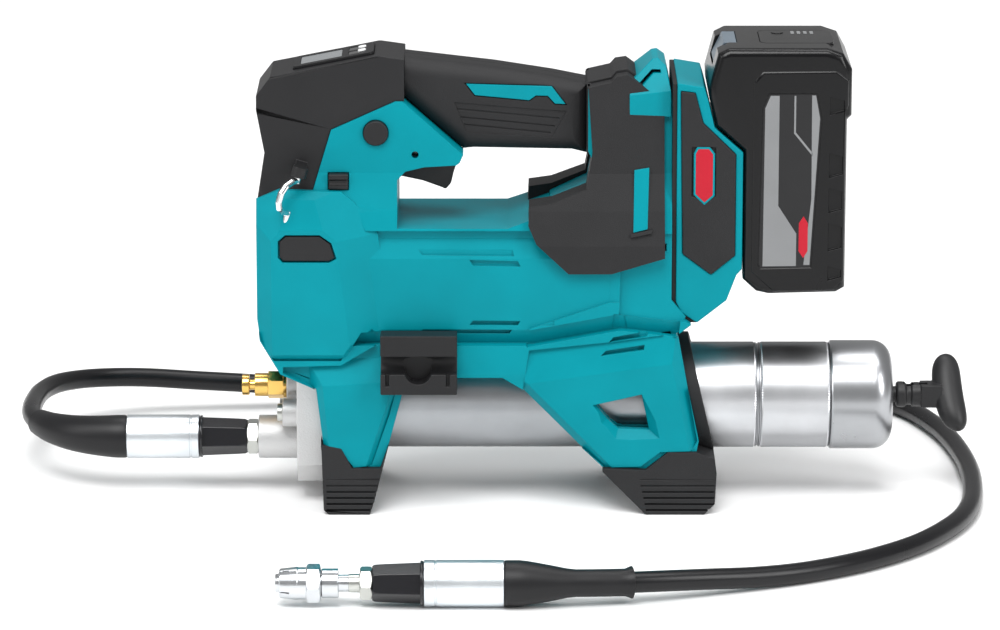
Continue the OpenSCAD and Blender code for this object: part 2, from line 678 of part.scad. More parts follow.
// Reduction gears, crank and plunger
gear_back_x = gear_front_x + 33;
gear_case_r = 24.5;
crank_shaft_r = 5;
lay_r = 2.5;
pin_z = motor_z - crank_r;
pin_r = 4;
function tooth_ring(n, start) =
    let (pitch = 360 / n, root = n / 2 - 0.8 - gap_teeth, tip = n / 2 + 0.8)
    [for (i = [0:n - 1]) for (p = [[root, -0.27], [tip, -0.11], [tip, 0.11], [root, 0.27]])
        let (a = start + (i + p[1]) * pitch) [p[0] * cos(a), p[0] * sin(a)]];
module tooth_wheel(x0, x1, n, start, z) {
    translate([x0, 0, z]) rotate([90, 0, 90]) linear_extrude(x1 - x0) polygon(tooth_ring(n, start));
}
module gear_case_shape(x0, x1, r) {
    rod_x(x0, x1, r, 0, motor_z);
    rod_x(x0, x1, r, 0, lay_z);
    block(x0, x1, -r, r, motor_z, lay_z);
}
module gearbox_case() {
    color("#a8abb0") difference() {
        union() {
            gear_case_shape(gear_front_x, gear_back_x, gear_case_r);
            block(gear_front_x, gear_front_x + 12, -18, 18, head_top_z, motor_z);
        }
        gear_case_shape(gear_front_x + 5, gear_back_x - 4, gear_case_r - 3);
        rod_x(gear_front_x - 1, gear_front_x + 6, 11, 0, motor_z);
        rod_x(gear_front_x - 1, gear_front_x + 6, 6, 0, lay_z);
        rod_x(gear_back_x - 5, gear_back_x + 1, 6, 0, lay_z);
        rod_x(gear_back_x - 5, gear_back_x + 1, 8, 0, motor_z);
    }
}
module layshaft() {
    color("#b5a26a") {
        rod_x(gear_front_x, gear_back_x, lay_r, 0, lay_z);
        tooth_wheel(gear_front_x + 5.5, gear_front_x + 14.5, second_n, 270, lay_z);
        tooth_wheel(gear_front_x + 17, gear_front_x + 25, first_n, 270 + 180 / first_n, lay_z);
    }
}
module crank() {
    color("#9aa0a6") {
        rod_x(gear_front_x - 2, gear_front_x + 6, crank_shaft_r, 0, motor_z);
        tooth_wheel(gear_front_x + 6, gear_front_x + 11, second_gear_n, 90 + 180 / second_gear_n,
            motor_z);
        rod_x(gear_front_x - 6, gear_front_x - 2, crank_r + 5, 0, motor_z);
        rod_x(gear_front_x - 9.4, gear_front_x - 6, pin_r, 0, pin_z);
    }
}
yoke_x = gear_front_x - 9.4 - slide_gap;
module plunger() {
    color("silver") {
        difference() {
            block(pump_x - 4, yoke_x, -crank_r - 8, crank_r + 8, pin_z - 10, pin_z + 10);
            block(pump_x, yoke_x + 1, -crank_r - 4.5, crank_r + 4.5, pin_z - 4.2, pin_z + 4.2);
        }
        translate([pump_x, 0, barrel_z + 4]) cylinder(d = plunger_d, h = pin_z - 9 - barrel_z - 4);
    }
}

// Pump head, a casting that the barrel and the hose screw into
head_top_z = motor_z - 31;
bleed_z = barrel_z + 5.6;
function head_outline(more) = [
    [-20 - more, barrel_z - 46 - more], [20 + more, barrel_z - 46 - more],
    [33 + more, barrel_z - 33], [33 + more, head_top_z - 12], [24 + more, head_top_z + more],
    [-24 - more, head_top_z + more], [-33 - more, head_top_z - 12], [-33 - more, barrel_z - 33]
];
module pump_head() {
    color("#c4c6c8") difference() {
        union() {
            front_block(head_outline(0), head_x, socket_x);
            rod_x(socket_x - 1, socket_x + 18, barrel_r + 3.2, 0, barrel_z);
            rod_x(head_x - 23, head_x + 1, 12.4, 0, hose_z);
            rod_x(head_x - 6.7, head_x + 1, 8.5, 0, bleed_z);
            mirrored_y() rod_x(head_x - 8.5, head_x + 1, 8, 18, barrel_z - 6);
            translate([pump_x, 0, hose_z]) cylinder(r = 7.5, h = head_top_z - hose_z);
        }
        rod_x(socket_x + 2, socket_x + 19, barrel_r + seat_gap, 0, barrel_z);
        translate([pump_x, 0, hose_z]) cylinder(d = plunger_d + 2 * run_gap, h = 100);
        rod_x(pump_x, socket_x + 3, 4, 0, barrel_z);
        rod_x(head_x - 24, pump_x, 5.9, 0, hose_z);
        rod_x(head_x - 24, pump_x, 4, 0, bleed_z);
        mirrored_y() rod_x(head_x - 9, head_x + 12, 2.5, 18, barrel_z - 6);
    }
}
module head_bolts() {
    color("#b8babd") mirrored_y() difference() {
        union() {
            rod_x(head_x - 11.5, head_x - 8.5, 5, 18, barrel_z - 6);
            rod_x(head_x - 8.6, head_x + 11, 2.5, 18, barrel_z - 6);
        }
        hex_x(head_x - 12, head_x - 9.5, 5, 18, barrel_z - 6);
    }
}
module bleed_valve() {
    x = head_x - 6.7;
    color("#c9a24a") difference() {
        union() {
            rod_x(x - 2, x, 7.5, 0, bleed_z);
            hex_x(x - 10.6, x - 2, 14, 0, bleed_z);
            rod_x(x - 18.2, x - 10.6, 6.7, 0, bleed_z);
            rod_x(x, x + 7.5, 4, 0, bleed_z);
        }
        rod_x(x - 19, x - 8, 3 + run_gap, 0, bleed_z);
    }
}
module bleed_button() {
    x = head_x - 6.7;
    color("#c9a24a") {
        rod_x(x - 25.5, x - 21.4, 6, 0, bleed_z);
        rod_x(x - 21.4, x - 11, 3, 0, bleed_z);
    }
}

// Barrel with its cap, follower, spring and rod
tube_x = socket_x + 2.3;
follower_x = tube_x + 3;
module barrel_tube() {
    color("#b9bbbe") difference() {
        rod_x(tube_x, cap_x, barrel_r, 0, barrel_z);
        rod_x(tube_x - 1, cap_x + 1, barrel_r - barrel_wall, 0, barrel_z);
        difference() {
            rod_x(rear_x + 49, rear_x + 51, barrel_r + 1, 0, barrel_z);
            rod_x(rear_x + 48, rear_x + 52, barrel_r - 0.8, 0, barrel_z);
        }
    }
}
module barrel_cap() {
    r = barrel_r + 1;
    color("#c6c8ca") difference() {
        union() {
            translate([cap_x, 0, barrel_z]) rotate([0, 90, 0]) rotate_extrude()
                polygon([[0, 0], [r, 0], [r, cap_l - 7], [r - 2, cap_l - 3], [r - 6, cap_l], [0, cap_l]]);
            rod_x(cap_x - 8, cap_x + 1, barrel_r - barrel_wall - run_gap, 0, barrel_z);
        }
        rod_x(cap_x - 9, cap_x + cap_l - 6, barrel_r - barrel_wall - 3, 0, barrel_z);
        rod_x(cap_x, cap_x + cap_l + 1, rod_d / 2 + run_gap, 0, barrel_z);
    }
}
module follower() {
    color("#2a2a2a") difference() {
        union() {
            rod_x(follower_x, follower_x + 4, barrel_r - barrel_wall - free_gap, 0, barrel_z);
            rod_x(follower_x + 4, follower_x + 16, barrel_r - barrel_wall - 4, 0, barrel_z);
            rod_x(follower_x + 12, follower_x + 16, barrel_r - barrel_wall - free_gap, 0, barrel_z);
        }
        rod_x(follower_x - 1, follower_x + 17, rod_d / 2 + run_gap, 0, barrel_z);
    }
}
spring_turns = 13;
module follower_spring() {
    x0 = follower_x + 16 + 1.6;
    x1 = cap_x + cap_l - 6 - 1.6;
    r = barrel_r - barrel_wall - 6;
    n = spring_turns * 14;
    pts = [for (i = [0:n]) let (a = i * 360 / 14)
        [x0 + (x1 - x0) * i / n, r * cos(a), barrel_z + r * sin(a)]];
    color("#8a8d90") swept(pts, 0, n, [for (p = pts) 1.3], 6, [1, 0, 0]);
}
bar_turn = -35;
module follower_rod() {
    color("#1c1c1e") {
        rod_x(follower_x + 1, handle_x + 8, rod_d / 2, 0, barrel_z);
        difference() {
            rod_x(handle_x, handle_x + 27, 11, 0, barrel_z);
            for (x = [handle_x + 4, handle_x + 14]) block(x, x + 7, -20, 20, barrel_z + 5, barrel_z + 20);
        }
        translate([handle_x + 36.6, 0, barrel_z]) rotate([bar_turn, 0, 0]) rotate([0, 90, 90])
            translate([0, 0, -6.5]) linear_extrude(13) {
                square([46, 14], center = true);
                for (s = [-1, 1]) translate([s * 21, 0]) circle(r = 8);
                translate([0, 7]) square([20, 8], center = true);
            }
    }
}

// Battery pack
wall_b = 2.2;
battery_r = battery_w / 2;
module battery_case() {
    color("#1d1d1f") difference() {
        side_block(battery_pts, -battery_r, battery_r);
        block(rail_x + 12, back_x - 2.5 - wall_b, -battery_r + wall_b, battery_r - wall_b,
            motor_z + 0.5, grip_z + 40);
        block(rail_x - 1, rail_x + 8, -rail_r, rail_r, motor_z - 10, grip_z + 3.6);
        block(rear_x + 32, back_x - 14, -battery_r + 8, battery_r - 8, grip_z + 42, grip_z + 59.5);
        gauge_place() cylinder(r = 3.5 + free_gap, h = 12, center = true);
        for (down = [0, 1.5, 3 + free_gap]) translate([0, 0, -down]) latch_shape(free_gap);
        block(rear_x + 24 - free_gap, rear_x + 36 + free_gap, -16 - free_gap, 16 + free_gap,
            grip_z + 42.5, grip_z + 47);
    }
    color("#1d1d1f") mirrored_y()
        block(rail_x + slide_gap, rail_x + 3.6, rail_r - 5 + slide_gap, rail_r + 0.5, motor_z + 10,
            grip_z + 3.6);
}
module battery_cells() {
    color("#3f7fbf") for (i = [0, 1], k = [0:4])
        rod_y(-cell_l / 2, cell_l / 2, cell_d / 2, rail_x + 12.2 + cell_d / 2 + i * (cell_d + 0.1),
            motor_z + 0.7 + cell_d / 2 + k * (cell_d + 0.1));
}
module latch_shape(more) {
    side_block([[rear_x + 24 - more, grip_z + 46 - more], [rear_x + 36 + more, grip_z + 46 - more],
        [rear_x + 36 + more, grip_z + 62 + more],
        [rear_x + 21 - more, grip_z + 62 + more]], -16 - more, 16 + more);
}
module battery_latch() {
    color("#5c6b73") difference() {
        latch_shape(0);
        side_block([[rear_x + 10, grip_z + 48], [rear_x + 22, grip_z + 48], [rear_x + 29, grip_z + 62.5],
            [rear_x + 40, grip_z + 62.5], [rear_x + 40, grip_z + 80], [rear_x + 10, grip_z + 80]],
            -20, 20);
    }
}
module gauge_place() {
    translate([rear_x + 60, 12, grip_z + 62]) children();
}
module gauge_button() {
    color("#3c3c3e") gauge_place() {
        translate([0, 0, -2.9]) cylinder(r = 3.5, h = 3.3);
        translate([0, 0, -4.3]) cylinder(r = 4.4, h = 1.5);
    }
}

// Hose and everything on it
module cuff(x0, x1, r0, r1, y, z) {
    translate([x0, y, z]) rotate([0, 90, 0]) cylinder(r1 = r0, r2 = r1, h = x1 - x0);
}
module rear_hose_nut() {
    color("silver") {
        hex_x(head_x - 29.5, head_x - 23, 18, 0, hose_z);
        rod_x(head_x - 23.2, head_x - 13, 5.9, 0, hose_z);
    }
}
module rear_sleeve() {
    color("#2b2b2d") cuff(-233, head_x - 29.5, sleeve_r - 0.5, 9.5, 0, 32);
    color("silver") rod_x(-274, -233, sleeve_r, 0, 32);
}
module rear_boot() {
    color("#2b2b2d") swept(route, 0, boot_end, [for (i = [0:boot_end]) 12 - 3.5 * i / boot_end]);
}
module hose() {
    color("#1c1c1c") swept(route, boot_end, boot_start, [for (i = [boot_end:boot_start]) hose_r]);
}
module front_boot() {
    last = len(route) - 1;
    n = last - boot_start;
    color("#2b2b2d") swept(route, boot_start, last, [for (i = [0:n]) 8.5 + 3.5 * i / n]);
}
module front_sleeve() {
    c = coupler_at;
    color("silver") rod_x(c[0] - 43, c[0], sleeve_r, c[1], c[2]);
    color("#2b2b2d") cuff(c[0] - 70, c[0] - 43, 9.5, sleeve_r - 0.5, c[1], c[2]);
}
module front_hose_nut() {
    c = coupler_at;
    color("silver") {
        hex_x(c[0] - 77, c[0] - 70, 16, c[1], c[2]);
        rod_x(c[0] - 83, c[0] - 76, 5, c[1], c[2]);
    }
}
module coupler() {
    c = coupler_at;
    color("#b0b2b5") difference() {
        union() {
            hex_x(c[0] - 88, c[0] - 78, 14, c[1], c[2]);
            rod_x(c[0] - 122, c[0] - 80, 6.4, c[1], c[2]);
        }
        rod_x(c[0] - 84, c[0] - 70, 5, c[1], c[2]);
        rod_x(c[0] - 123, c[0] - 108, nipple_d / 2, c[1], c[2]);
        rod_x(c[0] - 109, c[0] - 82, 1.5, c[1], c[2]);
    }
}
module coupler_collar() {
    c = coupler_at;
    color("#9fa2a6") difference() {
        union() {
            cuff(c[0] - 120, c[0] - 103, 8, 10, c[1], c[2]);
            rod_x(c[0] - 103, c[0] - 88.3, 10.5, c[1], c[2]);
        }
        rod_x(c[0] - 121, c[0] - 88, 6.4 + run_gap, c[1], c[2]);
    }
}

housing_near();
housing_far();
display_cover();
display_panel();
mode_button();
menu_button();
grip_near();
grip_far();
rear_cover_near();
rear_cover_far();
seam_gasket();
battery_mount();
mount_bumpers();
badges();
terminal_block();
strap_hook();
strap_ring();
side_bumpers();
hose_holder();
front_foot();
rear_foot();
barrel_collar();
housing_screws();
trigger();
trigger_pin();
switch();
lock_button();
lock_slide();
controller();
motor_stator();
motor_rotor();
bearings();
gearbox_case();
layshaft();
crank();
plunger();
pump_head();
head_bolts();
bleed_valve();
bleed_button();
barrel_tube();
barrel_cap();
follower();
follower_spring();
follower_rod();
battery_case();
battery_cells();
battery_latch();
gauge_button();
rear_hose_nut();
rear_sleeve();
rear_boot();
hose();
front_boot();
front_sleeve();
front_hose_nut();
coupler();
coupler_collar();
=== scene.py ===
import bmesh
import bpy
import math
from mathutils import Matrix, Vector
from mathutils.bvhtree import BVHTree
from mathutils.kdtree import KDTree


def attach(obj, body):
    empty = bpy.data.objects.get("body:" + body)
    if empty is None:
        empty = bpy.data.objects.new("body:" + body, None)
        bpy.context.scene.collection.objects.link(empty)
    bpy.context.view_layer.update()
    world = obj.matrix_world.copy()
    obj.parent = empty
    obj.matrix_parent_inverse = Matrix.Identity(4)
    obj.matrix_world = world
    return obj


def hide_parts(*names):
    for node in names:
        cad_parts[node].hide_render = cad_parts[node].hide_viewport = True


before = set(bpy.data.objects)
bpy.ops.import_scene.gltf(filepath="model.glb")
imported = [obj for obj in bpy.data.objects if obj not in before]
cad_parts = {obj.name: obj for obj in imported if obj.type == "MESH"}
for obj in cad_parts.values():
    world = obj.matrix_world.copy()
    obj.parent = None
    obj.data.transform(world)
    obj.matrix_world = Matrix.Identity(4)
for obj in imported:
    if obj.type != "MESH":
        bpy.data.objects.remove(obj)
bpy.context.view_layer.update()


# ---- Camera, floor and light -------------------------------------------------------------
# The tool stands on a pale sheet, seen level from its near side and a little from above. One wide
# soft lamp hangs over its left front, a weaker one at the right, and a long one behind the top.
target = Vector((-0.0604, 0.0, 0.1036))
tilt = math.radians(14)
distance = 3.0
camera = bpy.data.objects.new("camera", bpy.data.cameras.new("camera"))
camera.location = target + distance * Vector((0, -math.cos(tilt), math.sin(tilt)))
camera.rotation_euler = (math.radians(90) - tilt, 0, 0)
camera.data.lens = 189.5
camera.data.sensor_width = 36
camera.data.clip_end = 50
bpy.context.scene.collection.objects.link(camera)
bpy.context.scene.camera = camera
bpy.context.scene.view_settings.view_transform = "Standard"

floor_mesh = bpy.data.meshes.new("floor")
floor_shape = bmesh.new()
bmesh.ops.create_grid(floor_shape, x_segments=1, y_segments=1, size=12)
floor_shape.to_mesh(floor_mesh)
floor = bpy.data.objects.new("floor", floor_mesh)
bpy.context.scene.collection.objects.link(floor)
paper = bpy.data.materials.new("paper")
paper.use_nodes = True
paper.node_tree.nodes["Principled BSDF"].inputs["Base Color"].default_value = (0.93, 0.93, 0.93, 1)
paper.node_tree.nodes["Principled BSDF"].inputs["Roughness"].default_value = 0.7
floor_mesh.materials.append(paper)

sky = bpy.data.worlds.new("studio")
sky.use_nodes = True
sky.node_tree.nodes["Background"].inputs["Color"].default_value = (1, 1, 1, 1)
sky.node_tree.nodes["Background"].inputs["Strength"].default_value = 0.36
bpy.context.scene.world = sky
for name, spot, size, power in [("left", (-1.6, -0.8, 1.2), (0.7, 1.6), 14),
                                ("right", (1.5, -1.2, 1.1), (0.6, 1.2), 20),
                                ("top", (0.2, 0.3, 1.7), (1.8, 0.4), 12)]:
    lamp = bpy.data.lights.new(name, "AREA")
    lamp.shape = "RECTANGLE"
    lamp.size, lamp.size_y = size
    lamp.energy = power
    holder = bpy.data.objects.new(name, lamp)
    holder.location = spot
    holder.rotation_euler = (target - Vector(spot)).to_track_quat("-Z", "Y").to_euler()
    bpy.context.scene.collection.objects.link(holder)

sun = bpy.data.lights.new("sun", "SUN")
sun.energy = 2.3
sun.angle = math.radians(32)
holder = bpy.data.objects.new("sun", sun)
holder.rotation_euler = Vector((0.12, 0.6, -1.0)).to_track_quat("-Z", "Y").to_euler()
bpy.context.scene.collection.objects.link(holder)


# ---- Hose --------------------------------------------------------------------------------
# High-pressure hose, two steel braids under a smooth black rubber cover. It is crimped into a
# sleeve at the pump head, lies behind the tool and comes round its back to the coupler.
# From here on all sizes are in millimetres; a shape is brought to metres when it becomes a piece.
MM = 0.001
HOSE_D = 11.5
ROUTE = [
    (-274, 0, 32), (-282, 0, 32), (-296, 3, 32), (-308, 9, 32), (-319, 19, 32), (-327, 31, 32),
    (-332, 45, 32), (-334, 62, 32), (-334, 85, 31), (-332, 108, 30), (-325, 130, 29),
    (-312, 148, 27), (-294, 160, 25), (-272, 167, 23), (-245, 172, 20), (-215, 177, 17),
    (-180, 183, 13), (-145, 189, 9), (-110, 195, 7), (-75, 200, 6), (-40, 203, 6), (0, 205, 6),
    (40, 206, 6), (80, 206, 6), (115, 203, 6), (145, 195, 6), (168, 180, 6), (185, 158, 6),
    (196, 130, 6), (204, 98, 6), (209, 60, 6), (211, 25, 6), (210, -12, 6), (206, -48, 6),
    (198, -78, 6), (186, -104, 6), (170, -129, 6), (150, -151, 6), (128, -169, 6),
    (103, -184, 6), (77, -196, 7), (52, -206, 9), (30, -214, 10.5), (10, -220, 11.5),
    (-10, -224, 12.3), (-30, -226, 12.8), (-50, -226, 12.8), (-58, -226, 12.8)
]
BOOT_END, BOOT_START = 5, 43


def moulded(name, colour, rough, grain=0.35, depth=0.25, drift=0.12, sheen=0.0,
             shine=0.3):
    """A moulded skin: fine grain, patches that are a little glossier, and a slight colour drift."""
    finish = bpy.data.materials.new(name)
    finish.use_nodes = True
    nodes, links = finish.node_tree.nodes, finish.node_tree.links
    shader = nodes["Principled BSDF"]
    place = nodes.new("ShaderNodeTexCoord")
    fine = nodes.new("ShaderNodeTexNoise")
    fine.inputs["Scale"].default_value = 1 / (grain * MM)
    fine.inputs["Detail"].default_value = 3
    broad = nodes.new("ShaderNodeTexNoise")
    broad.inputs["Scale"].default_value = 28
    broad.inputs["Detail"].default_value = 5
    gloss = nodes.new("ShaderNodeMapRange")
    gloss.inputs["To Min"].default_value = rough - 0.07
    gloss.inputs["To Max"].default_value = rough + 0.07
    tone = nodes.new("ShaderNodeValToRGB")
    tone.color_ramp.elements[0].position = 0.3
    tone.color_ramp.elements[0].color = (*[c * (1 - drift) for c in colour], 1)
    tone.color_ramp.elements[1].position = 0.7
    tone.color_ramp.elements[1].color = (*[min(1, c * (1 + drift)) for c in colour], 1)
    bump = nodes.new("ShaderNodeBump")
    bump.inputs["Strength"].default_value = depth
    bump.inputs["Distance"].default_value = grain * MM * 0.4
    for texture in (fine, broad):
        links.new(place.outputs["Object"], texture.inputs["Vector"])
    links.new(broad.outputs["Fac"], gloss.inputs["Value"])
    links.new(gloss.outputs["Result"], shader.inputs["Roughness"])
    links.new(broad.outputs["Fac"], tone.inputs["Fac"])
    links.new(tone.outputs["Color"], shader.inputs["Base Color"])
    links.new(fine.outputs["Fac"], bump.inputs["Height"])
    links.new(bump.outputs["Normal"], shader.inputs["Normal"])
    shader.inputs["Specular IOR Level"].default_value = shine
    shader.inputs["Coat Weight"].default_value = sheen
    shader.inputs["Coat Roughness"].default_value = 0.25
    return finish


hose_rubber = moulded("hose_rubber", (0.006, 0.006, 0.007), 0.3, grain=0.5, depth=0.15)
line = bpy.data.curves.new("hose_line", "CURVE")
line.dimensions = "3D"
run = [(-235, 0, 32)] + ROUTE + [(-66, -226, 12.8)]
spline = line.splines.new("POLY")
spline.points.add(len(run) * 4 - 4)


def between(points, i, t):
    """A point on the smooth curve through the points, at t from point i to point i + 1."""
    a, b, c, d = (Vector(points[max(0, min(len(points) - 1, i + k))]) for k in (-1, 0, 1, 2))
    return 0.5 * (2 * b + t * (c - a) + t * t * (2 * a - 5 * b + 4 * c - d)
                  + t ** 3 * (3 * b - a - 3 * c + d))


smooth_run = [between(run, i, k / 4) for i in range(len(run) - 1) for k in range(4)]
smooth_run.append(Vector(run[-1]))
for point, spot in zip(spline.points, smooth_run):
    point.co = (*(spot * MM), 1)
line.bevel_depth = HOSE_D / 2 * MM
line.bevel_resolution = 6
line.use_fill_caps = True
hose = bpy.data.objects.new("pressure_hose", line)
bpy.context.scene.collection.objects.link(hose)
line.materials.append(hose_rubber)
hose_length = sum((b - a).length for a, b in zip(smooth_run, smooth_run[1:])) * MM
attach(hose, "casing")
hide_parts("hose")


# ---- Sleeves, cuffs and boots of the hose ---------------------------------------------------
# Zinc-plated steel sleeves are crimped on both ends of the hose. A black moulded cuff covers the
# swivel beside each nut, and a tapered rubber boot keeps the hose from kinking.
def turned(profile, centre=(0, 0, 0), steps=64, axis=(1, 0, 0)):
    """A closed body turned on a lathe from (along, radius) pairs that begin and end on the axis."""
    bm = bmesh.new()
    along = Vector(axis)
    side = Vector((0, 0, 1)) if abs(along.z) < 0.5 else Vector((1, 0, 0))
    chain = [bm.verts.new(Vector(centre) + along * x + side * max(r, 0)) for x, r in profile]
    edges = [bm.edges.new(pair) for pair in zip(chain, chain[1:])]
    bmesh.ops.spin(bm, geom=chain + edges, cent=centre, axis=along, angle=math.tau, steps=steps,
                   use_merge=True)
    bmesh.ops.remove_doubles(bm, verts=bm.verts, dist=0.001)
    bmesh.ops.recalc_face_normals(bm, faces=bm.faces)
    return bm


def swept(points, radii, sides=32, shape=None, closed=False):
    """A tube along points, each ring square to the run and with its own radius, with closed ends."""
    bm = bmesh.new()
    rings = []
    up = Vector((0, 0, 1))
    for i, spot in enumerate(points):
        ahead = Vector(points[min(i + 1, len(points) - 1)]) - Vector(points[max(i - 1, 0)])
        across = ahead.cross(up)
        if across.length < 0.01 * ahead.length:
            across = ahead.cross(Vector((0, 1, 0)))
        turn = Matrix((across.normalized(), across.normalized().cross(ahead.normalized()),
                       ahead.normalized())).transposed()
        made = bmesh.ops.create_circle(bm, segments=sides, radius=radii[i])
        for v in made["verts"]:
            v.co = Vector(spot) + turn @ v.co
        rings.append([e for e in bm.edges if all(v in made["verts"] for v in e.verts)])
    for a, b in zip(rings, rings[1:]):
        bmesh.ops.bridge_loops(bm, edges=a + b)
    for ring in (rings[0], rings[-1]):
        bmesh.ops.contextual_create(bm, geom=ring)
    bmesh.ops.recalc_face_normals(bm, faces=bm.faces)
    return bm


def hexagon(x0, x1, across, centre, lean=1.2):
    """A hexagon bar along X with its ends chamfered, as a nut is."""
    bm = bmesh.new()
    made = bmesh.ops.create_circle(bm, segments=6, radius=across / math.sqrt(3))
    face = bm.faces.new(made["verts"])
    grown = bmesh.ops.extrude_face_region(bm, geom=[face])
    top = [v for v in grown["geom"] if isinstance(v, bmesh.types.BMVert)]
    bmesh.ops.translate(bm, verts=top, vec=(0, 0, x1 - x0))
    bmesh.ops.rotate(bm, verts=bm.verts, matrix=Matrix.Rotation(math.radians(90), 3, "Y"))
    bmesh.ops.translate(bm, verts=bm.verts, vec=(x0, centre[1], centre[2]))
    bmesh.ops.recalc_face_normals(bm, faces=bm.faces)
    cone = turned([(x0, 0), (x0, across / 2 - 0.1), (x0 + lean, across * 0.6),
                   (x1 - lean, across * 0.6), (x1, across / 2 - 0.1), (x1, 0)],
                  centre=(0, centre[1], centre[2]), steps=48)
    return together([bm, cone], "INTERSECT")


def scratch(bm):
    """A passing object that holds a shape while it is cut or joined."""
    mesh = bpy.data.meshes.new("scratch")
    bm.to_mesh(mesh)
    bm.free()
    holder = bpy.data.objects.new("scratch", mesh)
    bpy.context.scene.collection.objects.link(holder)
    return holder


def together(shapes, how="UNION"):
    """One closed shape from several: joined, cut by the rest from the first, or what they share."""
    holders = [scratch(bm) for bm in shapes]
    for tool in holders[1:]:
        step = holders[0].modifiers.new("step", "BOOLEAN")
        step.operation, step.solver, step.object = how, "EXACT", tool
    bpy.context.view_layer.update()
    made = holders[0].evaluated_get(bpy.context.evaluated_depsgraph_get())
    bm = bmesh.new()
    bm.from_mesh(made.to_mesh())
    made.to_mesh_clear()
    for holder in holders:
        mesh = holder.data
        bpy.data.objects.remove(holder)
        bpy.data.meshes.remove(mesh)
    bmesh.ops.remove_doubles(bm, verts=bm.verts, dist=0.002)
    return bm


def soften(bm, width, segments=2, sharper=22, least=1.5):
    """Rounds every edge sharper than an angle, as a mould or a tumbler does. Where a rounding would
    run wild in a tight corner, the edges of that corner are left as they are."""
    bmesh.ops.dissolve_degenerate(bm, dist=0.01, edges=bm.edges)
    bmesh.ops.dissolve_limit(bm, angle_limit=math.radians(0.3), verts=bm.verts, edges=bm.edges)
    skin = BVHTree.FromBMesh(bm)
    corners = KDTree(len(bm.verts))
    for v in bm.verts:
        corners.insert(v.co, v.index)
    corners.balance()
    bm.edges.ensure_lookup_table()
    chosen = {e.index for e in bm.edges if len(e.link_faces) == 2
              and e.calc_face_angle() > math.radians(sharper) and e.calc_length() > width * 0.5
              and min(f.calc_area() for f in e.link_faces) > width * least}
    for attempt in range(8):
        trial = bm.copy()
        sharp = [e for e in trial.edges if e.index in chosen]
        bmesh.ops.bevel(trial, geom=sharp, offset=width, offset_type="OFFSET", segments=segments,
                        profile=0.5, affect="EDGES", clamp_overlap=False, material=-1)
        wild = {v for v in trial.verts if skin.find_nearest(v.co)[3] > width * 0.8}
        if not wild:
            break
        edge = {w for v in wild for e in v.link_edges for w in e.verts}
        near = {corners.find(w.co)[1] for w in edge}
        chosen -= {e.index for e in bm.edges if any(v.index in near for v in e.verts)}
        trial.free()
        trial = bm.copy()
    held = bpy.data.meshes.new("held")
    trial.to_mesh(held)
    trial.free()
    bm.clear()
    bm.from_mesh(held)
    bpy.data.meshes.remove(held)
    bmesh.ops.remove_doubles(bm, verts=bm.verts, dist=0.005)
    return bm


def piece(bm, name, body, finish, nodes=(), slot=None, smooth=40):
    """The shape as a finished piece in metres, on its body, in place of the CAD nodes."""
    bmesh.ops.scale(bm, vec=(MM, MM, MM), verts=bm.verts)
    mesh = bpy.data.meshes.new(name)
    bm.to_mesh(mesh)
    bm.free()
    mesh.shade_smooth()
    mesh.set_sharp_from_angle(angle=math.radians(smooth))
    made = bpy.data.objects.new(name, mesh)
    bpy.context.scene.collection.objects.link(made)
    for one in finish if isinstance(finish, list) else [finish]:
        mesh.materials.append(one)
    weigh = made.modifiers.new("even", "WEIGHTED_NORMAL")
    weigh.keep_sharp = True
    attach(made, body)
    if nodes:
        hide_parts(*([nodes] if isinstance(nodes, str) else nodes))
    return made


def metal(name, colour, rough, stretch=(1, 1, 1), grain=0.5, depth=0.12, drift=0.1):
    """Bare or plated metal with fine marks drawn out along one way."""
    finish = moulded(name, colour, rough, grain, depth, drift)
    nodes, links = finish.node_tree.nodes, finish.node_tree.links
    nodes["Principled BSDF"].inputs["Metallic"].default_value = 1
    lay = nodes.new("ShaderNodeMapping")
    lay.inputs["Scale"].default_value = stretch
    place = next(n for n in nodes if n.type == "TEX_COORD")
    fine = next(n for n in nodes if n.type == "TEX_NOISE")
    links.new(place.outputs["Object"], lay.inputs["Vector"])
    links.new(lay.outputs["Vector"], fine.inputs["Vector"])
    return finish


zinc = metal("zinc_sleeve", (0.76, 0.8, 0.83), 0.34, stretch=(0.6, 1, 1), grain=0.8, depth=0.35)
zinc_nut = metal("zinc_nut", (0.55, 0.56, 0.53), 0.32, grain=0.6, depth=0.25)
cuff_plastic = moulded("cuff_plastic", (0.009, 0.009, 0.011), 0.24, grain=0.8, depth=0.1, sheen=0.3)
boot_rubber = moulded("boot_rubber", (0.008, 0.008, 0.009), 0.42, grain=0.6, depth=0.2)

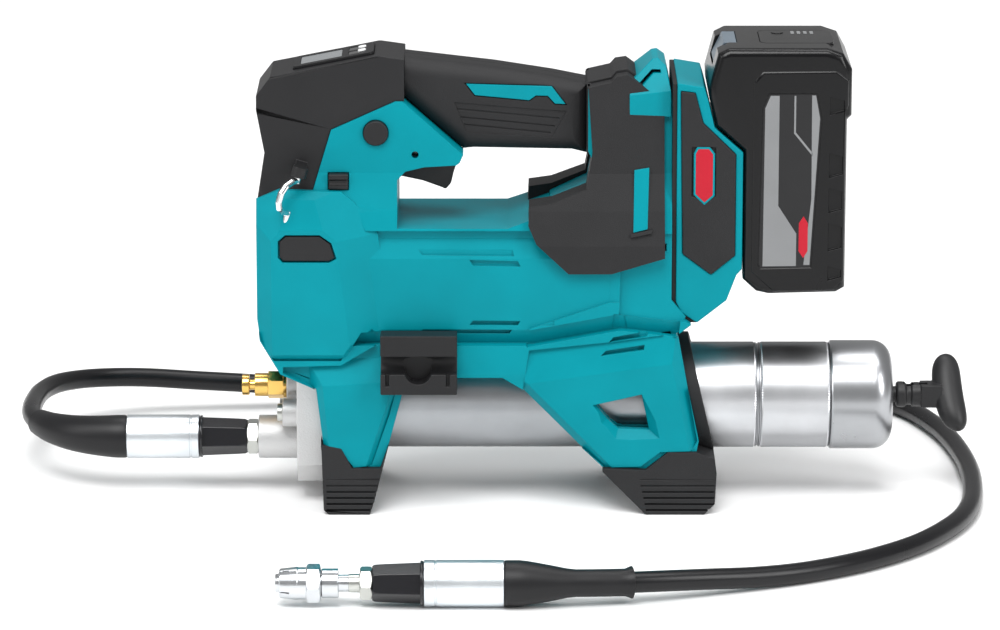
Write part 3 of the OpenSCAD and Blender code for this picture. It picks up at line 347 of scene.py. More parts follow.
SLEEVE_R = 12.5
front_end = Vector(ROUTE[-1])
for side, at, way in (("rear", Vector(ROUTE[0]), 1), ("front", front_end, -1)):
    band = [(0, 0), (0, 12), (0.4, 12.5), (36, 12.5), (36.4, 12.15), (37, 12.15), (37.4, 12.5),
            (41.2, 12.5), (41.6, 12), (41.6, 0)] if way > 0 else [
            (0, 0), (0, 11.9), (0.5, 12.5), (36, 12.5), (36.4, 12.15), (37, 12.15), (37.4, 12.5),
            (42.6, 12.5), (43, 12), (43, 0)]
    sleeve = turned([(way * x, r) for x, r in band], at, 72)
    length = abs(band[-1][0])
    piece(sleeve, side + "_crimp_sleeve", "casing", zinc, side + "_sleeve"
                             if side == "front" else (), slot="zinc_plate")
    cuff_long = 27.4
    start = way * length
    taper = [(start, 0), (start, 11.6), (start + way * 0.8, 12.1),
             (start + way * (cuff_long - 1.2), 9.9), (start + way * cuff_long, 9.2),
             (start + way * cuff_long, 0)]
    cuff = turned(taper, at, 64)
    flats = []
    for k in range(6):
        block = bmesh.new()
        bmesh.ops.create_cube(block, size=1)
        bmesh.ops.scale(block, vec=(30, 20, 8), verts=block.verts)
        bmesh.ops.translate(block, verts=block.verts, vec=(0, 0, 4 + 9.1))
        bmesh.ops.rotate(block, verts=block.verts, matrix=Matrix.Rotation(way * math.radians(2), 3, "Y"))
        bmesh.ops.rotate(block, verts=block.verts, matrix=Matrix.Rotation(k * math.pi / 3 + 0.3, 3, "X"))
        bmesh.ops.translate(block, verts=block.verts,
                            vec=(at.x + start + way * (cuff_long - 11), at.y, at.z))
        flats.append(block)
    cuff = together([cuff] + flats, "DIFFERENCE")
    soften(cuff, 0.35, 2)
    piece(cuff, side + "_cuff", "casing", cuff_plastic,
                             "rear_sleeve" if side == "rear" else (), slot="black_plastic", smooth=35)
nut_at = Vector(ROUTE[0])
nut = together([hexagon(-205, -198.5, 18, nut_at), turned([(-205.5, 0), (-205.5, 6), (-196, 6),
                (-196, 0)], (0, 0, nut_at.z))])
piece(soften(nut, 0.2, 1), "rear_swivel_nut", "casing", zinc_nut, "rear_hose_nut",
                         slot="zinc_plate")
nut = together([hexagon(front_end.x - 77, front_end.x - 70.4, 16, front_end),
                turned([(-83, 0), (-83, 5), (-70, 5), (-70, 0)], front_end)])
piece(soften(nut, 0.2, 1), "front_swivel_nut", "casing", zinc_nut,
                         "front_hose_nut", slot="zinc_plate")


def boot(points, name, node, flange):
    """A tapered boot along the hose: a wide mouth at the sleeve, and a rolled lip where it ends."""
    spots = [between(points, i, k / 4) for i in range(len(points) - 1) for k in range(4)]
    spots.append(Vector(points[-1]))
    run, far = [0], 0
    for a, b in zip(spots, spots[1:]):
        far += (b - a).length
        run.append(far)
    radii = []
    for d in run:
        t = d / far
        r = 12.6 - 5.2 * min(1, max(0, (t - 0.1) / 0.42)) ** 1.15 if flange else \
            12.4 - 4.9 * min(1, max(0, (t - 0.06) / 0.94)) ** 1.1
        if d < 1.0:
            r -= 0.5
        if flange and t > 0.955:
            r += 1.5
        radii.append(min(r, 12.3))
    shape = swept(spots, radii, 48)
    soften(shape, 0.4, 2, 40)
    return piece(shape, name, "casing", boot_rubber, node, slot="hose_rubber", smooth=50)


boot(ROUTE[:BOOT_END + 1], "rear_hose_boot", "rear_boot", False)
boot(ROUTE[:BOOT_START - 1:-1], "front_hose_boot", "front_boot", True)


# ---- Grease coupler --------------------------------------------------------------------------
# Hardened steel coupler with jaws that grip a grease nipple. A hexagon collar turns on its body to
# lock them, and a tapered nose guides it on.
coupler_steel = metal("coupler_steel", (0.62, 0.64, 0.66), 0.22, stretch=(0.1, 1, 1), grain=0.5, depth=0.2)
tail = turned([(-88.2, 0), (-88.2, 7.2), (-88.6, 7.9), (-97, 7.9), (-97.4, 7.3), (-97.4, 6.2),
               (-116, 6.2), (-122, 4.8), (-122, 0)], front_end, 56)
neck = turned([(-82, 0), (-82, 4.6), (-88.4, 4.6), (-88.4, 0)], front_end, 40)
bore = turned([(-123, 0), (-123, 3.3), (-108, 3.3), (-108, 0)], front_end, 32)
body = together([together([tail, neck]), bore], "DIFFERENCE")
coupler_body = piece(body, "coupler_body", "casing", coupler_steel, "coupler", slot="steel")
nose = turned([(-97.6, 0), (-97.6, 8.6), (-98, 9), (-104.6, 9), (-105, 8.7), (-110, 8.6),
               (-110.4, 8.9), (-119.4, 7.9), (-120, 7.3), (-120, 0)], front_end, 64)
belt = hexagon(front_end.x - 105.4, front_end.x - 98, 18.6, front_end, 1.0)
hole = turned([(-121, 0), (-121, 6.5), (-97, 6.5), (-97, 0)], front_end, 40)
slits = []
for k in range(4):
    slit = bmesh.new()
    bmesh.ops.create_cube(slit, size=1)
    bmesh.ops.scale(slit, vec=(7, 0.7, 6), verts=slit.verts)
    bmesh.ops.translate(slit, verts=slit.verts, vec=(0, 0, 7.5))
    bmesh.ops.rotate(slit, verts=slit.verts, matrix=Matrix.Rotation(k * math.pi / 2 + 0.4, 3, "X"))
    bmesh.ops.translate(slit, verts=slit.verts, vec=(front_end.x - 118, front_end.y, front_end.z))
    slits.append(slit)
nose = together([together([nose, belt]), hole] + slits, "DIFFERENCE")
soften(nose, 0.18, 1)
collar = piece(nose, "coupler_lock_collar", "coupler_collar", coupler_steel, "coupler_collar",
               slot="steel")


# ---- Casing halves ---------------------------------------------------------------------------
# Two mirrored clamshell mouldings in glass-filled nylon, teal, screwed together from the far side.
# Their outer faces are cut into flat facets: a proud chest over the gears, a motor panel with
# louvres, and two legs that hold the barrel.
teal_plastic = moulded("teal_plastic", (0.0, 0.222, 0.27), 0.42, grain=0.35, depth=0.12,
                       drift=0.06, shine=0.1)
edge = teal_plastic.node_tree.nodes.new("ShaderNodeBevel")
edge.inputs["Radius"].default_value = 0.6 * MM
edge.samples = 4
bump = next(n for n in teal_plastic.node_tree.nodes if n.type == "BUMP")
teal_plastic.node_tree.links.new(edge.outputs["Normal"], bump.inputs["Normal"])


def copied(name):
    """The CAD node's shape in millimetres, its loose triangles joined again."""
    bm = bmesh.new()
    bm.from_mesh(bpy.data.objects[name].data)
    bmesh.ops.scale(bm, vec=(1000, 1000, 1000), verts=bm.verts)
    bmesh.ops.remove_doubles(bm, verts=bm.verts, dist=0.002)
    return bm


def block(points, y0, y1):
    """A straight block across the tool, from its (x, z) outline."""
    bm = bmesh.new()
    face = bm.faces.new([bm.verts.new((x, y0, z)) for x, z in points])
    grown = bmesh.ops.extrude_face_region(bm, geom=[face])
    ends = [v for v in grown["geom"] if isinstance(v, bmesh.types.BMVert)]
    bmesh.ops.translate(bm, verts=ends, vec=(0, y1 - y0, 0))
    bmesh.ops.recalc_face_normals(bm, faces=bm.faces)
    return bm


def grown(points, more):
    """The same outline, moved out by more on every side; the outline runs clockwise."""
    bigger = []
    for i, here in enumerate(points):
        before, after = Vector(points[i - 1]), Vector(points[(i + 1) % len(points)])
        here = Vector(here)
        n1 = Vector((-(here - before).y, (here - before).x)).normalized()
        n2 = Vector((-(after - here).y, (after - here).x)).normalized()
        spread = (n1 + n2) / max(0.35, 1 + n1.dot(n2))
        bigger.append(tuple(here + spread * more))
    return bigger


def facet(p, q, face, run, drop, side=-1, ends=3, over=9):
    """A cutter for one flat facet: from the line p to q on a face it falls by drop over run, and it
    lies to the left of the way from p to q."""
    a, b = Vector((p[0], 0, p[1])), Vector((q[0], 0, q[1]))
    along = (b - a).normalized()
    out = Vector((-along.z, 0, along.x))
    a -= along * ends
    b += along * ends
    bm = bmesh.new()
    corners = [a + out * u + Vector((0, side * v, 0))
               for u, v in ((-0.02, face), (run, face - drop), (run, face + over), (-0.02, face + over))]
    profile = bm.faces.new([bm.verts.new(c) for c in corners])
    grown = bmesh.ops.extrude_face_region(bm, geom=[profile])
    moved = [v for v in grown["geom"] if isinstance(v, bmesh.types.BMVert)]
    bmesh.ops.translate(bm, verts=moved, vec=b - a)
    bmesh.ops.recalc_face_normals(bm, faces=bm.faces)
    return bm


def planed(bm, cuts, side=-1):
    """Cuts a convex block by whole planes, given as facets, and closes it again."""
    for p, q, face, run, drop in cuts:
        a, b = Vector((p[0], side * face, p[1])), Vector((q[0], side * face, q[1]))
        along = (b - a).normalized()
        slope = Vector((-along.z, 0, along.x)) * run + Vector((0, -side * drop, 0))
        normal = along.cross(slope).normalized()
        if normal.y * side < 0:
            normal.negate()
        cut = bmesh.ops.bisect_plane(bm, geom=bm.verts[:] + bm.edges[:] + bm.faces[:], dist=0.001,
                                     plane_co=a, plane_no=normal, clear_outer=True)
        rim = [e for e in cut["geom_cut"] if isinstance(e, bmesh.types.BMEdge)]
        bmesh.ops.holes_fill(bm, edges=rim)
    bmesh.ops.recalc_face_normals(bm, faces=bm.faces)
    return bm


CHEST = [(-197, 179.3), (-184.2, 184.8), (-149.6, 183.5), (-141.8, 177.1), (-129, 160),
         (-127, 148), (-124, 104), (-138.5, 103.8), (-150, 86), (-188, 87.4), (-195.3, 99.2),
         (-197, 111)]
CHEST_FACE = 45
CHEST_PLANES = [((-188.6, 92), (-188.6, 162), CHEST_FACE, 8.4, 6),
                ((-188.3, 157.5), (-183.8, 163), CHEST_FACE, 15, 7.5),
                ((-183.8, 163.2), (-159.5, 163.2), CHEST_FACE, 17, 4.2),
                ((-159.5, 163.2), (-152.2, 156.8), CHEST_FACE, 16, 7),
                ((-152.2, 156.8), (-146.4, 110), CHEST_FACE, 17, 5.6),
                ((-184, 181), (-150, 179.6), 40.6, 4.2, 4.5),
                ((-150, 179.6), (-142.6, 173.5), 40, 4.2, 4.5)]
CHEST_CUTS = [((-148.5, 91.4), (-200, 91.4), CHEST_FACE, 7, 7.4),
              ((-137.8, 105.6), (-148.5, 91.4), CHEST_FACE, 7, 7.4)]
CHEST_BED = [(-198, 178), (-184.2, 183), (-149.6, 182), (-143, 176), (-134, 158), (-136.5, 147),
             (-132, 106.5), (-139.5, 104.6), (-150, 87.6), (-187.6, 87.6), (-194.9, 99.2),
             (-198, 111)]
PAD = [(-180.3, 159.8), (-161.5, 159.8), (-155.5, 155.5), (-153, 147.5), (-156.4, 145.7),
       (-181.7, 145.7), (-183.8, 148), (-183.8, 156.8)]
REAR_LEG = [(-47.5, 71), (-44, 93.5), (1.5, 98.2), (34, 102.5), (40, 100.5), (51, 41),
            (47.5, 35.5), (30, 35), (19, 26.5), (-1.5, 26), (-15, 38)]
LEG_FACE = 45.2
REAR_PLANES = [((-44, 75), (34, 86), LEG_FACE, 20, 5.4), ((34, 99), (46, 38), LEG_FACE, 5, 4),
               ((-1.5, 30.5), (-45, 75), LEG_FACE, 3, 3)]
FRONT_LEG = [(-182.5, 84), (-150, 85), (-130.2, 96.4), (-118, 96), (-116.5, 80), (-123, 56),
             (-133, 27), (-143, 26), (-151, 36.5), (-160, 37.5), (-164, 71), (-182.5, 80.5)]
FRONT_PLANES = [((-184, 72), (-117, 76), LEG_FACE, 14, 6), ((-120.5, 74), (-137, 24), LEG_FACE, 4, 3.4),
                ((-157, 38), (-161, 80), LEG_FACE, 3.5, 3)]
BODY_CUTS = [((-143, 145.8), (-28, 145.8), 39.4, 11, 4.4),
             ((-44, 104.8), (-140, 104.8), 39.4, 8.5, 4.2),
             ((6.5, 114), (-44, 104.8), 39.4, 9, 4.2),
             ((38, 110.5), (6.5, 114), 39.4, 9, 4.2)]
LINING = [(-182, 82), (-194, 102), (-194, 158), (-120, 158), (-34, 158), (-30, 150), (35.6, 150),
          (35.6, 122), (44, 112), (40, 104), (-44, 88), (-58, 82), (-112, 82), (-122, 74),
          (-160, 74)]
SLOTS = [([(-107, 151.5), (-53.4, 150.5), (-52.6, 147.2), (-103.8, 147.8)], 2.0),
         ([(-77.5, 145.1), (-50.4, 144.4), (-49, 141.4), (-75.4, 141.9)], 1.6),
         ([(-75.6, 110.1), (-49, 109.8), (-50.4, 107.4), (-77.5, 107.6)], 2.6),
         ([(-103.8, 105), (-53.6, 104.8), (-55.2, 102.4), (-105.2, 102.6)], 3.4),
         ([(3.4, 101.1), (23.4, 104.6), (21.8, 101.4), (1, 98.3)], 3.4),
         ([(-0.8, 93.2), (20.9, 96.6), (20.5, 93.8), (-3.6, 90.4)], 2.4)]
WINDOW = [(-6.2, 61.5), (19.4, 67.6), (23.9, 47), (6.2, 47.7), (0, 53.4)]
WINDOW_LIP = [(-10.2, 63.2), (19.4, 69.8), (35.5, 38.4), (3.4, 37.2), (-6, 50)]

for side, name in ((-1, "near"), (1, "far")):
    chest = planed(block(CHEST, side * 33, side * CHEST_FACE), CHEST_PLANES, side)
    chest = together([chest] + [facet(*cut, side=side) for cut in CHEST_CUTS], "DIFFERENCE")
    leg = planed(block(grown(REAR_LEG, 0.09), side * 36, side * LEG_FACE), REAR_PLANES, side)
    front_leg = planed(block(grown(FRONT_LEG, 0.09), side * 36, side * LEG_FACE), FRONT_PLANES, side)
    lining = block(LINING, side * 34, side * 40.7)
    deck_lining = block([(-134, 162.4), (-134, 150), (-40, 150), (-40, 162.4)],
                        side * 28, side * 36)
    shell = together([copied("housing_" + name), lining, deck_lining])
    beds = [block(grown(points, 0.05), side * 39.4, side * 50) for points in (REAR_LEG, FRONT_LEG)]
    shell = together([together([shell] + beds, "DIFFERENCE"), leg, front_leg])
    tools = [facet(*cut, side=side) for cut in BODY_CUTS]
    tools.append(block([(-138, 156.6), (-28, 156.6), (-28, 161.6), (-138, 161.6)], side * 35, side * 46))
    tools.append(block([(-146, 146), (1, 146), (1, 121), (-44, 105.6), (-44, 104.6), (-146, 104.6)],
                       side * 39.4, side * 46))
    tools.append(block([(7.5, 160), (6.8, 117), (6.3, 113.5), (34, 110), (48, 110), (48, 160)],
                       side * 38, side * 46))
    tools.append(facet((0.8, 121), (0.8, 156), 39.4, -7, -1.4, side, ends=0))
    tools += [block(points, side * (39.4 - deep), side * 50) for points, deep in SLOTS[:4]]
    tools += [block(points, side * (41.5 - deep), side * 50) for points, deep in SLOTS[4:]]
    opening = block(WINDOW_LIP, side * 40.5, side * 50)
    for v in opening.verts:
        if abs(v.co.y) < 42:
            nearest = min(range(5), key=lambda k: math.dist((v.co.x, v.co.z), WINDOW_LIP[k]))
            v.co.x, v.co.z = WINDOW[nearest]
    tools += [opening, block(WINDOW, side * 28, side * 50)]
    tools.append(block(CHEST_BED, side * 37.4, side * 50))
    shell = together([shell] + tools, "DIFFERENCE")
    recess = block(grown(PAD, 0.9), side * 41.5, side * 50)
    shell = together([together([shell, chest]), recess], "DIFFERENCE")
    piece(shell, "casing_" + name, "casing", teal_plastic, "housing_" + name, slot="teal_shell",
          smooth=9)


# ---- Overmoulded rubber: grip, rear covers and feet --------------------------------------------
# Dark grey thermoplastic elastomer is moulded over the casing where the hand and the floor meet
# it. Its skin is spark-eroded, so it looks pebbled and dull.
elastomer = moulded("elastomer", (0.013, 0.013, 0.014), 0.6, grain=0.55, depth=0.5, drift=0.12)
GRIP = [(-114, 256), (-114, 232.2), (-81, 203), (-75, 203.6), (-20, 202.6), (-11, 200.4),
        (-11, 241), (-31, 245), (-63, 250)]
GRIP_WINDOW = [(-79.5, 241.6), (-31.4, 240), (-23.6, 229.9), (-29.6, 230.2), (-33.6, 234.6),
               (-40.3, 234.8), (-44, 232.1), (-74.4, 235)]
GRIP_PAD = [(-86, 231), (-45, 227.5), (-31.5, 226.5), (-23, 226), (-31, 211), (-79.5, 214)]
PAD_RIBS = [((-84.5, 227), (-27, 221.6)), ((-82.5, 222.6), (-29.5, 217.4)),
            ((-80.8, 218.4), (-32, 213.6))]


def groove(p, q, face, deep, wide, side=-1):
    """A cutter for a straight groove from p to q in a side face."""
    a, b = Vector((p[0], 0, p[1])), Vector((q[0], 0, q[1]))
    along = (b - a).normalized()
    out = Vector((-along.z, 0, along.x)) * wide / 2
    corners = [a + out, b + out, b - out, a - out]
    return block([(c.x, c.z) for c in corners], side * (face - deep), side * (face + 6))


for side, name in ((-1, "near"), (1, "far")):
    handle = block(GRIP, -18, 18)
    rims = [e for e in handle.edges if abs(e.verts[0].co.y - e.verts[1].co.y) < 0.1
            and not (e.verts[0].co.x < -110 and e.verts[1].co.x < -110)]
    bmesh.ops.bevel(handle, geom=rims, offset=9.5, offset_type="OFFSET", segments=6, profile=0.5,
                    affect="EDGES", clamp_overlap=False, material=-1)
    cut = bmesh.ops.bisect_plane(handle, geom=handle.verts[:] + handle.edges[:] + handle.faces[:],
                                 plane_co=(0, side * 0.15, 0), plane_no=(0, -side, 0),
                                 clear_outer=True)
    bmesh.ops.holes_fill(handle, edges=[e for e in cut["geom_cut"] if isinstance(e, bmesh.types.BMEdge)])
    bmesh.ops.recalc_face_normals(handle, faces=handle.faces)
    tools = [block(grown(GRIP_WINDOW, 0.5), side * 16.6, side * 19),
             block(GRIP_PAD, side * 17.3, side * 19)]
    tools += [groove(p, q, 17.3, 0.6, 0.8, side) for p, q in PAD_RIBS]
    handle = together([handle] + tools, "DIFFERENCE")
    soften(handle, 0.3, 2, 40)
    piece(handle, "grip_" + name + "_skin", "casing", elastomer, "grip_" + name,
          slot="black_overmould", smooth=35)
    strip = soften(block(GRIP_WINDOW, side * 15.5, side * 18), 0.35, 2, 40)
    piece(strip, "grip_window_" + name, "casing", teal_plastic, slot="teal_shell")

REAR_WINDOW = [(14.8, 195.2), (23.2, 196.6), (22.2, 163.5), (14.2, 161.6)]
for side, name in ((-1, "near"), (1, "far")):
    cover = bpy.data.objects["rear_cover_" + name]
    cover.material_slots[0].material = elastomer
    skin = BVHTree.FromBMesh(copied("rear_cover_" + name))
    for part, points, proud, finish, slot in (
            ("window", REAR_WINDOW, 0.8, teal_plastic, "teal_shell"),
            ("lip", [(12.6, 161), (25, 163.4), (24.6, 161.4), (13, 159)], 1.6, elastomer, "black_overmould")):
        strip = block(points, side * 28, side * 38)
        for v in strip.verts:
            if abs(v.co.y) > 30:
                hit = skin.ray_cast(Vector((v.co.x, side * 90, v.co.z)), Vector((0, -side, 0)))[0]
                v.co.y = hit.y + side * proud
        piece(soften(strip, 0.2, 2, 40), "rear_" + part + "_" + name, "casing", finish, slot=slot)
saddle = together([block([(-11.8, 203), (-11.8, 241.6), (-9.5, 241.6), (-9.5, 203)], -25.5, 25.5),
                   block([(-11.6, 238), (-11.6, 242.4), (2, 245.8), (5, 249.2), (11, 250.2),
                          (20.5, 243.4), (20.5, 240), (10, 246), (0, 242), (-9.5, 238)], -17.4, 17.4)])
piece(soften(saddle, 0.6, 2, 30), "rear_cover_saddle", "casing", elastomer, slot="black_overmould")

for name, lines, lean in (("front_foot", ((-158.5, -131.5), 2.6, 3.4, 6), 0.22),
                          ("rear_foot", ((22, 60.5), 2.6, 3.4, 6), 0.04)):
    foot = copied(name)
    (x0, x1), low, pitch, count = lines
    tools = []
    for side in (-1, 1):
        for k in range(count):
            z = low + k * pitch
            a, b = (x0, x1 + lean * k * 5) if name == "front_foot" else (x0 - 0.7 * k, x1)
            half = 51.5 - 0.06 * z
            tools.append(groove((a, z), (b, z), 51.4, 3.2, 0.9, side))
    foot = together([foot] + tools, "DIFFERENCE")
    soften(foot, 0.35, 2, 30)
    piece(foot, name + "_shoe", "casing", elastomer, name, slot="black_overmould", smooth=35)


# ---- Display cover and panel ------------------------------------------------------------------
# Matt black moulding over the front of the tower. A sloped panel in its top holds a small screen,
# a second read-out and two white keys, so that the user sees the grease that is left.
black_plastic = moulded("black_plastic", (0.012, 0.012, 0.013), 0.48, grain=0.4, depth=0.2)
screen_glass = moulded("screen_glass", (0.2, 0.215, 0.225), 0.16, grain=0.2, depth=0.02, sheen=0.6)
dark_glass = moulded("dark_glass", (0.012, 0.013, 0.015), 0.14, grain=0.2, depth=0.02, sheen=0.5)
white_plastic = moulded("white_plastic", (0.75, 0.76, 0.76), 0.35, grain=0.25, depth=0.1, drift=0.03)
hood = copied("display_cover")
tools = []
for side in (-1, 1):
    tools += [facet((-190, 238), (-128, 250), 27, 9, 2.6, side), facet((-190, 243.6), (-128, 255.6), 25.4, 5, 4, side),
              facet((-193, 206), (-193, 236), 28, 5, 3.4, side),
              facet((-190.6, 176), (-188.6, 204), 34, 8, 3.2, side)]
hood = together([hood] + tools, "DIFFERENCE")
soften(hood, 0.5, 2, 24)
piece(hood, "display_hood", "casing", black_plastic, "display_cover", slot="black_plastic", smooth=30)


def on_slope(bm, lift=0):
    """Lays a shape made flat round the origin on the sloped top of the hood."""
    bmesh.ops.translate(bm, verts=bm.verts, vec=(36, 0, lift))
    bmesh.ops.rotate(bm, verts=bm.verts, matrix=Matrix.Rotation(math.radians(-11.1), 3, "Y"))
    bmesh.ops.translate(bm, verts=bm.verts, vec=(-189, 0, 246.5))
    return bm


def slab(x0, x1, y0, y1, z0, z1, round_off=0.0, segments=3):
    """A flat plate with rounded upright corners."""
    bm = bmesh.new()
    bmesh.ops.create_cube(bm, size=1)
    bmesh.ops.scale(bm, vec=(x1 - x0, y1 - y0, z1 - z0), verts=bm.verts)
    bmesh.ops.translate(bm, verts=bm.verts, vec=((x0 + x1) / 2, (y0 + y1) / 2, (z0 + z1) / 2))
    if round_off:
        upright = [e for e in bm.edges if abs(e.verts[0].co.z - e.verts[1].co.z) > (z1 - z0) / 2]
        bmesh.ops.bevel(bm, geom=upright, offset=round_off, offset_type="OFFSET",
                        segments=segments, profile=0.5, affect="EDGES", clamp_overlap=False,
                        material=-1)
    return bm


plate = together([slab(-23, 23, -15, 15, 0, 1.6, 3, 4), slab(-19, 5, -10.5, 10.5, 1.1, 3, 1),
                  slab(8.5, 15, -10.5, -1, 1.1, 3, 1), slab(8.5, 15, 1, 10.5, 1.1, 3, 1)], "DIFFERENCE")
piece(on_slope(soften(plate, 0.25, 2, 40)), "display_frame", "casing", black_plastic, "display_panel",
      slot="black_plastic")
piece(on_slope(soften(slab(-18.8, 4.8, -10.3, 10.3, 0.2, 1.35, 0.9), 0.15, 1, 40)), "main_screen",
      "casing", screen_glass, slot="screen")
for name, y0, y1 in (("small_screen_near", -10.3, -1.2), ("small_screen_far", 1.2, 10.3)):
    piece(on_slope(soften(slab(8.7, 14.8, y0, y1, 0.2, 1.35, 0.9), 0.15, 1, 40)), name, "casing",
          dark_glass, slot="screen")
for name, y in (("mode_button", -5), ("menu_button", 5)):
    key = slab(18 - 36 - 0, 22.6 - 36, y - 2.3, y + 2.3, -0.6, 2.3, 2.2, 6)
    bmesh.ops.translate(key, verts=key.verts, vec=(36 - 4.0, 0, 0))
    soften(key, 0.35, 3, 40)
    piece(on_slope(key), name + "_key", name, white_plastic, name, slot="white_plastic")


# ---- Battery ----------------------------------------------------------------------------------
# Ten-cell lithium pack that slides down onto the mount from above. Glossy black case in two
# shells with a plain printed label, a latch on its sloped front, and a charge gauge on top.
battery_plastic = moulded("battery_plastic", (0.0025, 0.0025, 0.003), 0.24, grain=0.6, depth=0.14,
                          sheen=0.1, shine=0.22)
label_grey = moulded("label_grey", (0.2, 0.205, 0.21), 0.4, grain=0.3, depth=0.05, drift=0.05)
label_black = moulded("label_black", (0.012, 0.012, 0.013), 0.3, grain=0.3, depth=0.05)
red_print = moulded("red_print", (0.42, 0.004, 0.018), 0.35, grain=0.3, depth=0.05, drift=0.05)
CASE = [(56, 243), (61, 262), (67, 265), (121.9, 265), (130.9, 262), (135.9, 253), (135.9, 227),
        (133.4, 224.5), (133.4, 128.5), (128.4, 125.5), (90.5, 124.5), (83.5, 126), (75.9, 133),
        (75.9, 207), (60.2, 221), (56.2, 237)]
outer = block(grown(CASE, -0.03), -37.45, 37.45)
rims = [e for e in outer.edges if abs(e.verts[0].co.y - e.verts[1].co.y) < 0.1]
bmesh.ops.bevel(outer, geom=rims, offset=4.5, offset_type="OFFSET", segments=4, profile=0.5,
                affect="EDGES", clamp_overlap=False, material=-1)
case = together([copied("battery_case"), outer], "INTERSECT")
PANEL = [(84.5, 239), (88, 243.5), (118, 244), (131.5, 236), (131.5, 131), (126, 128), (92, 127.5),
         (83, 135)]
LABEL = [(89.8, 239.4), (115.8, 239.6), (118.6, 226), (113.5, 141), (86, 140.4), (84.9, 142.5),
         (86.6, 232)]
BACK_SLOTS = [(123.5, 131.5, 228, 238), (123.5, 131, 192, 206), (123.5, 131, 172, 186),
              (123.5, 131, 150, 166), (123.5, 131, 133, 141)]
more, tools = [], []
for side in (-1, 1):
    panel = block([(80.5, 246), (86, 252.5), (127, 253), (134, 248), (134, 233), (132.6, 230),
                   (132.6, 133), (126.5, 127), (93, 126.5), (80.5, 138)], side * 36, side * 38.3)
    rims = [e for e in panel.edges if all(abs(v.co.y) > 38 for v in e.verts)]
    bmesh.ops.bevel(panel, geom=rims, offset=1.6, offset_type="OFFSET", segments=3, profile=0.5,
                    affect="EDGES", clamp_overlap=False, material=-1)
    more.append(panel)
    tools.append(block(grown(LABEL, 0.7), side * 37.7, side * 40))
    tools += [block([(a, d), (b, d - 2), (b, c + 2), (a, c)], side * 35.8, side * 40)
              for a, b, c, d in BACK_SLOTS]
case = together([case] + more)
tools.append(slab(85, 127, -19, 19, 264.2, 268, 5))
case = together([case] + tools, "DIFFERENCE")
soften(case, 0.4, 2, 26)
piece(case, "battery_shell", "battery", battery_plastic, "battery_case", slot="battery_black", smooth=32)
for side, name in ((-1, "near"), (1, "far")):
    sheet = block(LABEL, side * 37.2, side * 37.9)
    piece(sheet, "battery_label_" + name, "battery", label_black, slot="battery_black")
    grey = block([(90.4, 238.8), (95.3, 238.8), (95.3, 176), (105.6, 160), (105.6, 141.4), (86.9, 141.2),
                  (87.4, 231.6)][::1], side * 37.5, side * 37.98)
    piece(grey, "battery_label_stripe_" + name, "battery", label_grey, slot="battery_black")
    for part, points in (
            ("band", [(113.4, 239), (115.6, 239), (118, 226), (113.2, 142), (109.8, 142), (113.8, 180)]),
            ("line", [(103.6, 238.8), (104.6, 238.8), (104.6, 218), (114, 206.4), (114, 204.6),
                      (103.6, 217.4)])):
        band = block(points, side * 37.5, side * 37.98)
        piece(band, "battery_label_" + part + "_" + name, "battery", label_grey, slot="battery_black")
    chip = block([(107, 166), (109.6, 170), (112, 166), (112, 150), (109.6, 146), (107, 150)],
                 side * 37.5, side * 38.05)
    piece(chip, "battery_label_mark_" + name, "battery", red_print, slot="red_plate")
top = soften(slab(85.3, 126.7, -18.7, 18.7, 263.8, 265, 4.8, 5), 0.3, 2, 40)
piece(top, "battery_top_plate", "battery", battery_plastic, slot="battery_black")
for k in range(4):
    lamp = soften(slab(103.5 + 3.6 * k, 105.5 + 3.6 * k, 8, 15, 264.4, 265.3, 0.6), 0.12, 1, 40)
    piece(lamp, "charge_lamp_%d" % (k + 1), "battery", label_grey, slot="white_plastic")


def refined(name, body, finish, slot, width=0.4, cuts=(), joins=(), segments=2, smooth=35, sharper=26):
    """The CAD node's shape with its cuts and its moulded edges, and a real finish."""
    bm = copied(name)
    if joins:
        bm = together([bm] + list(joins))
    if cuts:
        bm = together([bm] + list(cuts), "DIFFERENCE")
    if width:
        soften(bm, width, segments, sharper)
    return piece(bm, name + "_part", body, finish, name, slot=slot, smooth=smooth)


# ---- Battery latch and charge key ----------------------------------------------------------------
# A blue-grey acetal latch plate is sprung in the sloped front of the pack. The key beside the
# lamps shows the charge.
latch_plastic = moulded("latch_plastic", (0.13, 0.165, 0.2), 0.36, grain=0.3, depth=0.1)
refined("battery_latch", "battery_latch", latch_plastic, "latch_grey", 0.5)
refined("gauge_button", "gauge_button", battery_plastic, "black_plastic", 0.3)

# ---- Battery mount, seam gasket, bumpers and badges ----------------------------------------------
# The mount is a second teal moulding behind a black rubber gasket, so the battery can float a
# little. Black bumpers and a red plate sit in its sides.
refined("battery_mount", "casing", teal_plastic, "teal_shell", 0.6, segments=3)
refined("seam_gasket", "casing", moulded("gasket_rubber", (0.009, 0.009, 0.009), 0.6, grain=0.4),
        "black_overmould", 0.3)
refined("mount_bumpers", "casing", elastomer, "black_overmould", 0.8, segments=3)
BADGE = [(49, 205.5), (50.4, 208.3), (56.2, 208.3), (58.6, 205.3), (58.6, 182), (54, 177.8),
         (49, 182.6)]
for side, name in ((-1, "near"), (1, "far")):
    piece(soften(block(BADGE, side * 34, side * 37.5), 0.25, 2, 40), "badge_" + name, "casing", red_print,
          "badges" if side < 0 else (), slot="red_plate")
    piece(soften(block(grown(BADGE, 1.1), side * 34, side * 37.25), 0.15, 1, 40), "badge_rim_" + name,
          "casing", teal_plastic, slot="teal_shell")
for side, name in ((-1, "near"), (1, "far")):
    pad = soften(block(PAD, side * 38.6, side * 44.6), 0.7, 3, 40)
    piece(pad, "side_pad_" + name, "casing", elastomer, "side_bumpers" if side < 0 else (),
          slot="black_overmould")
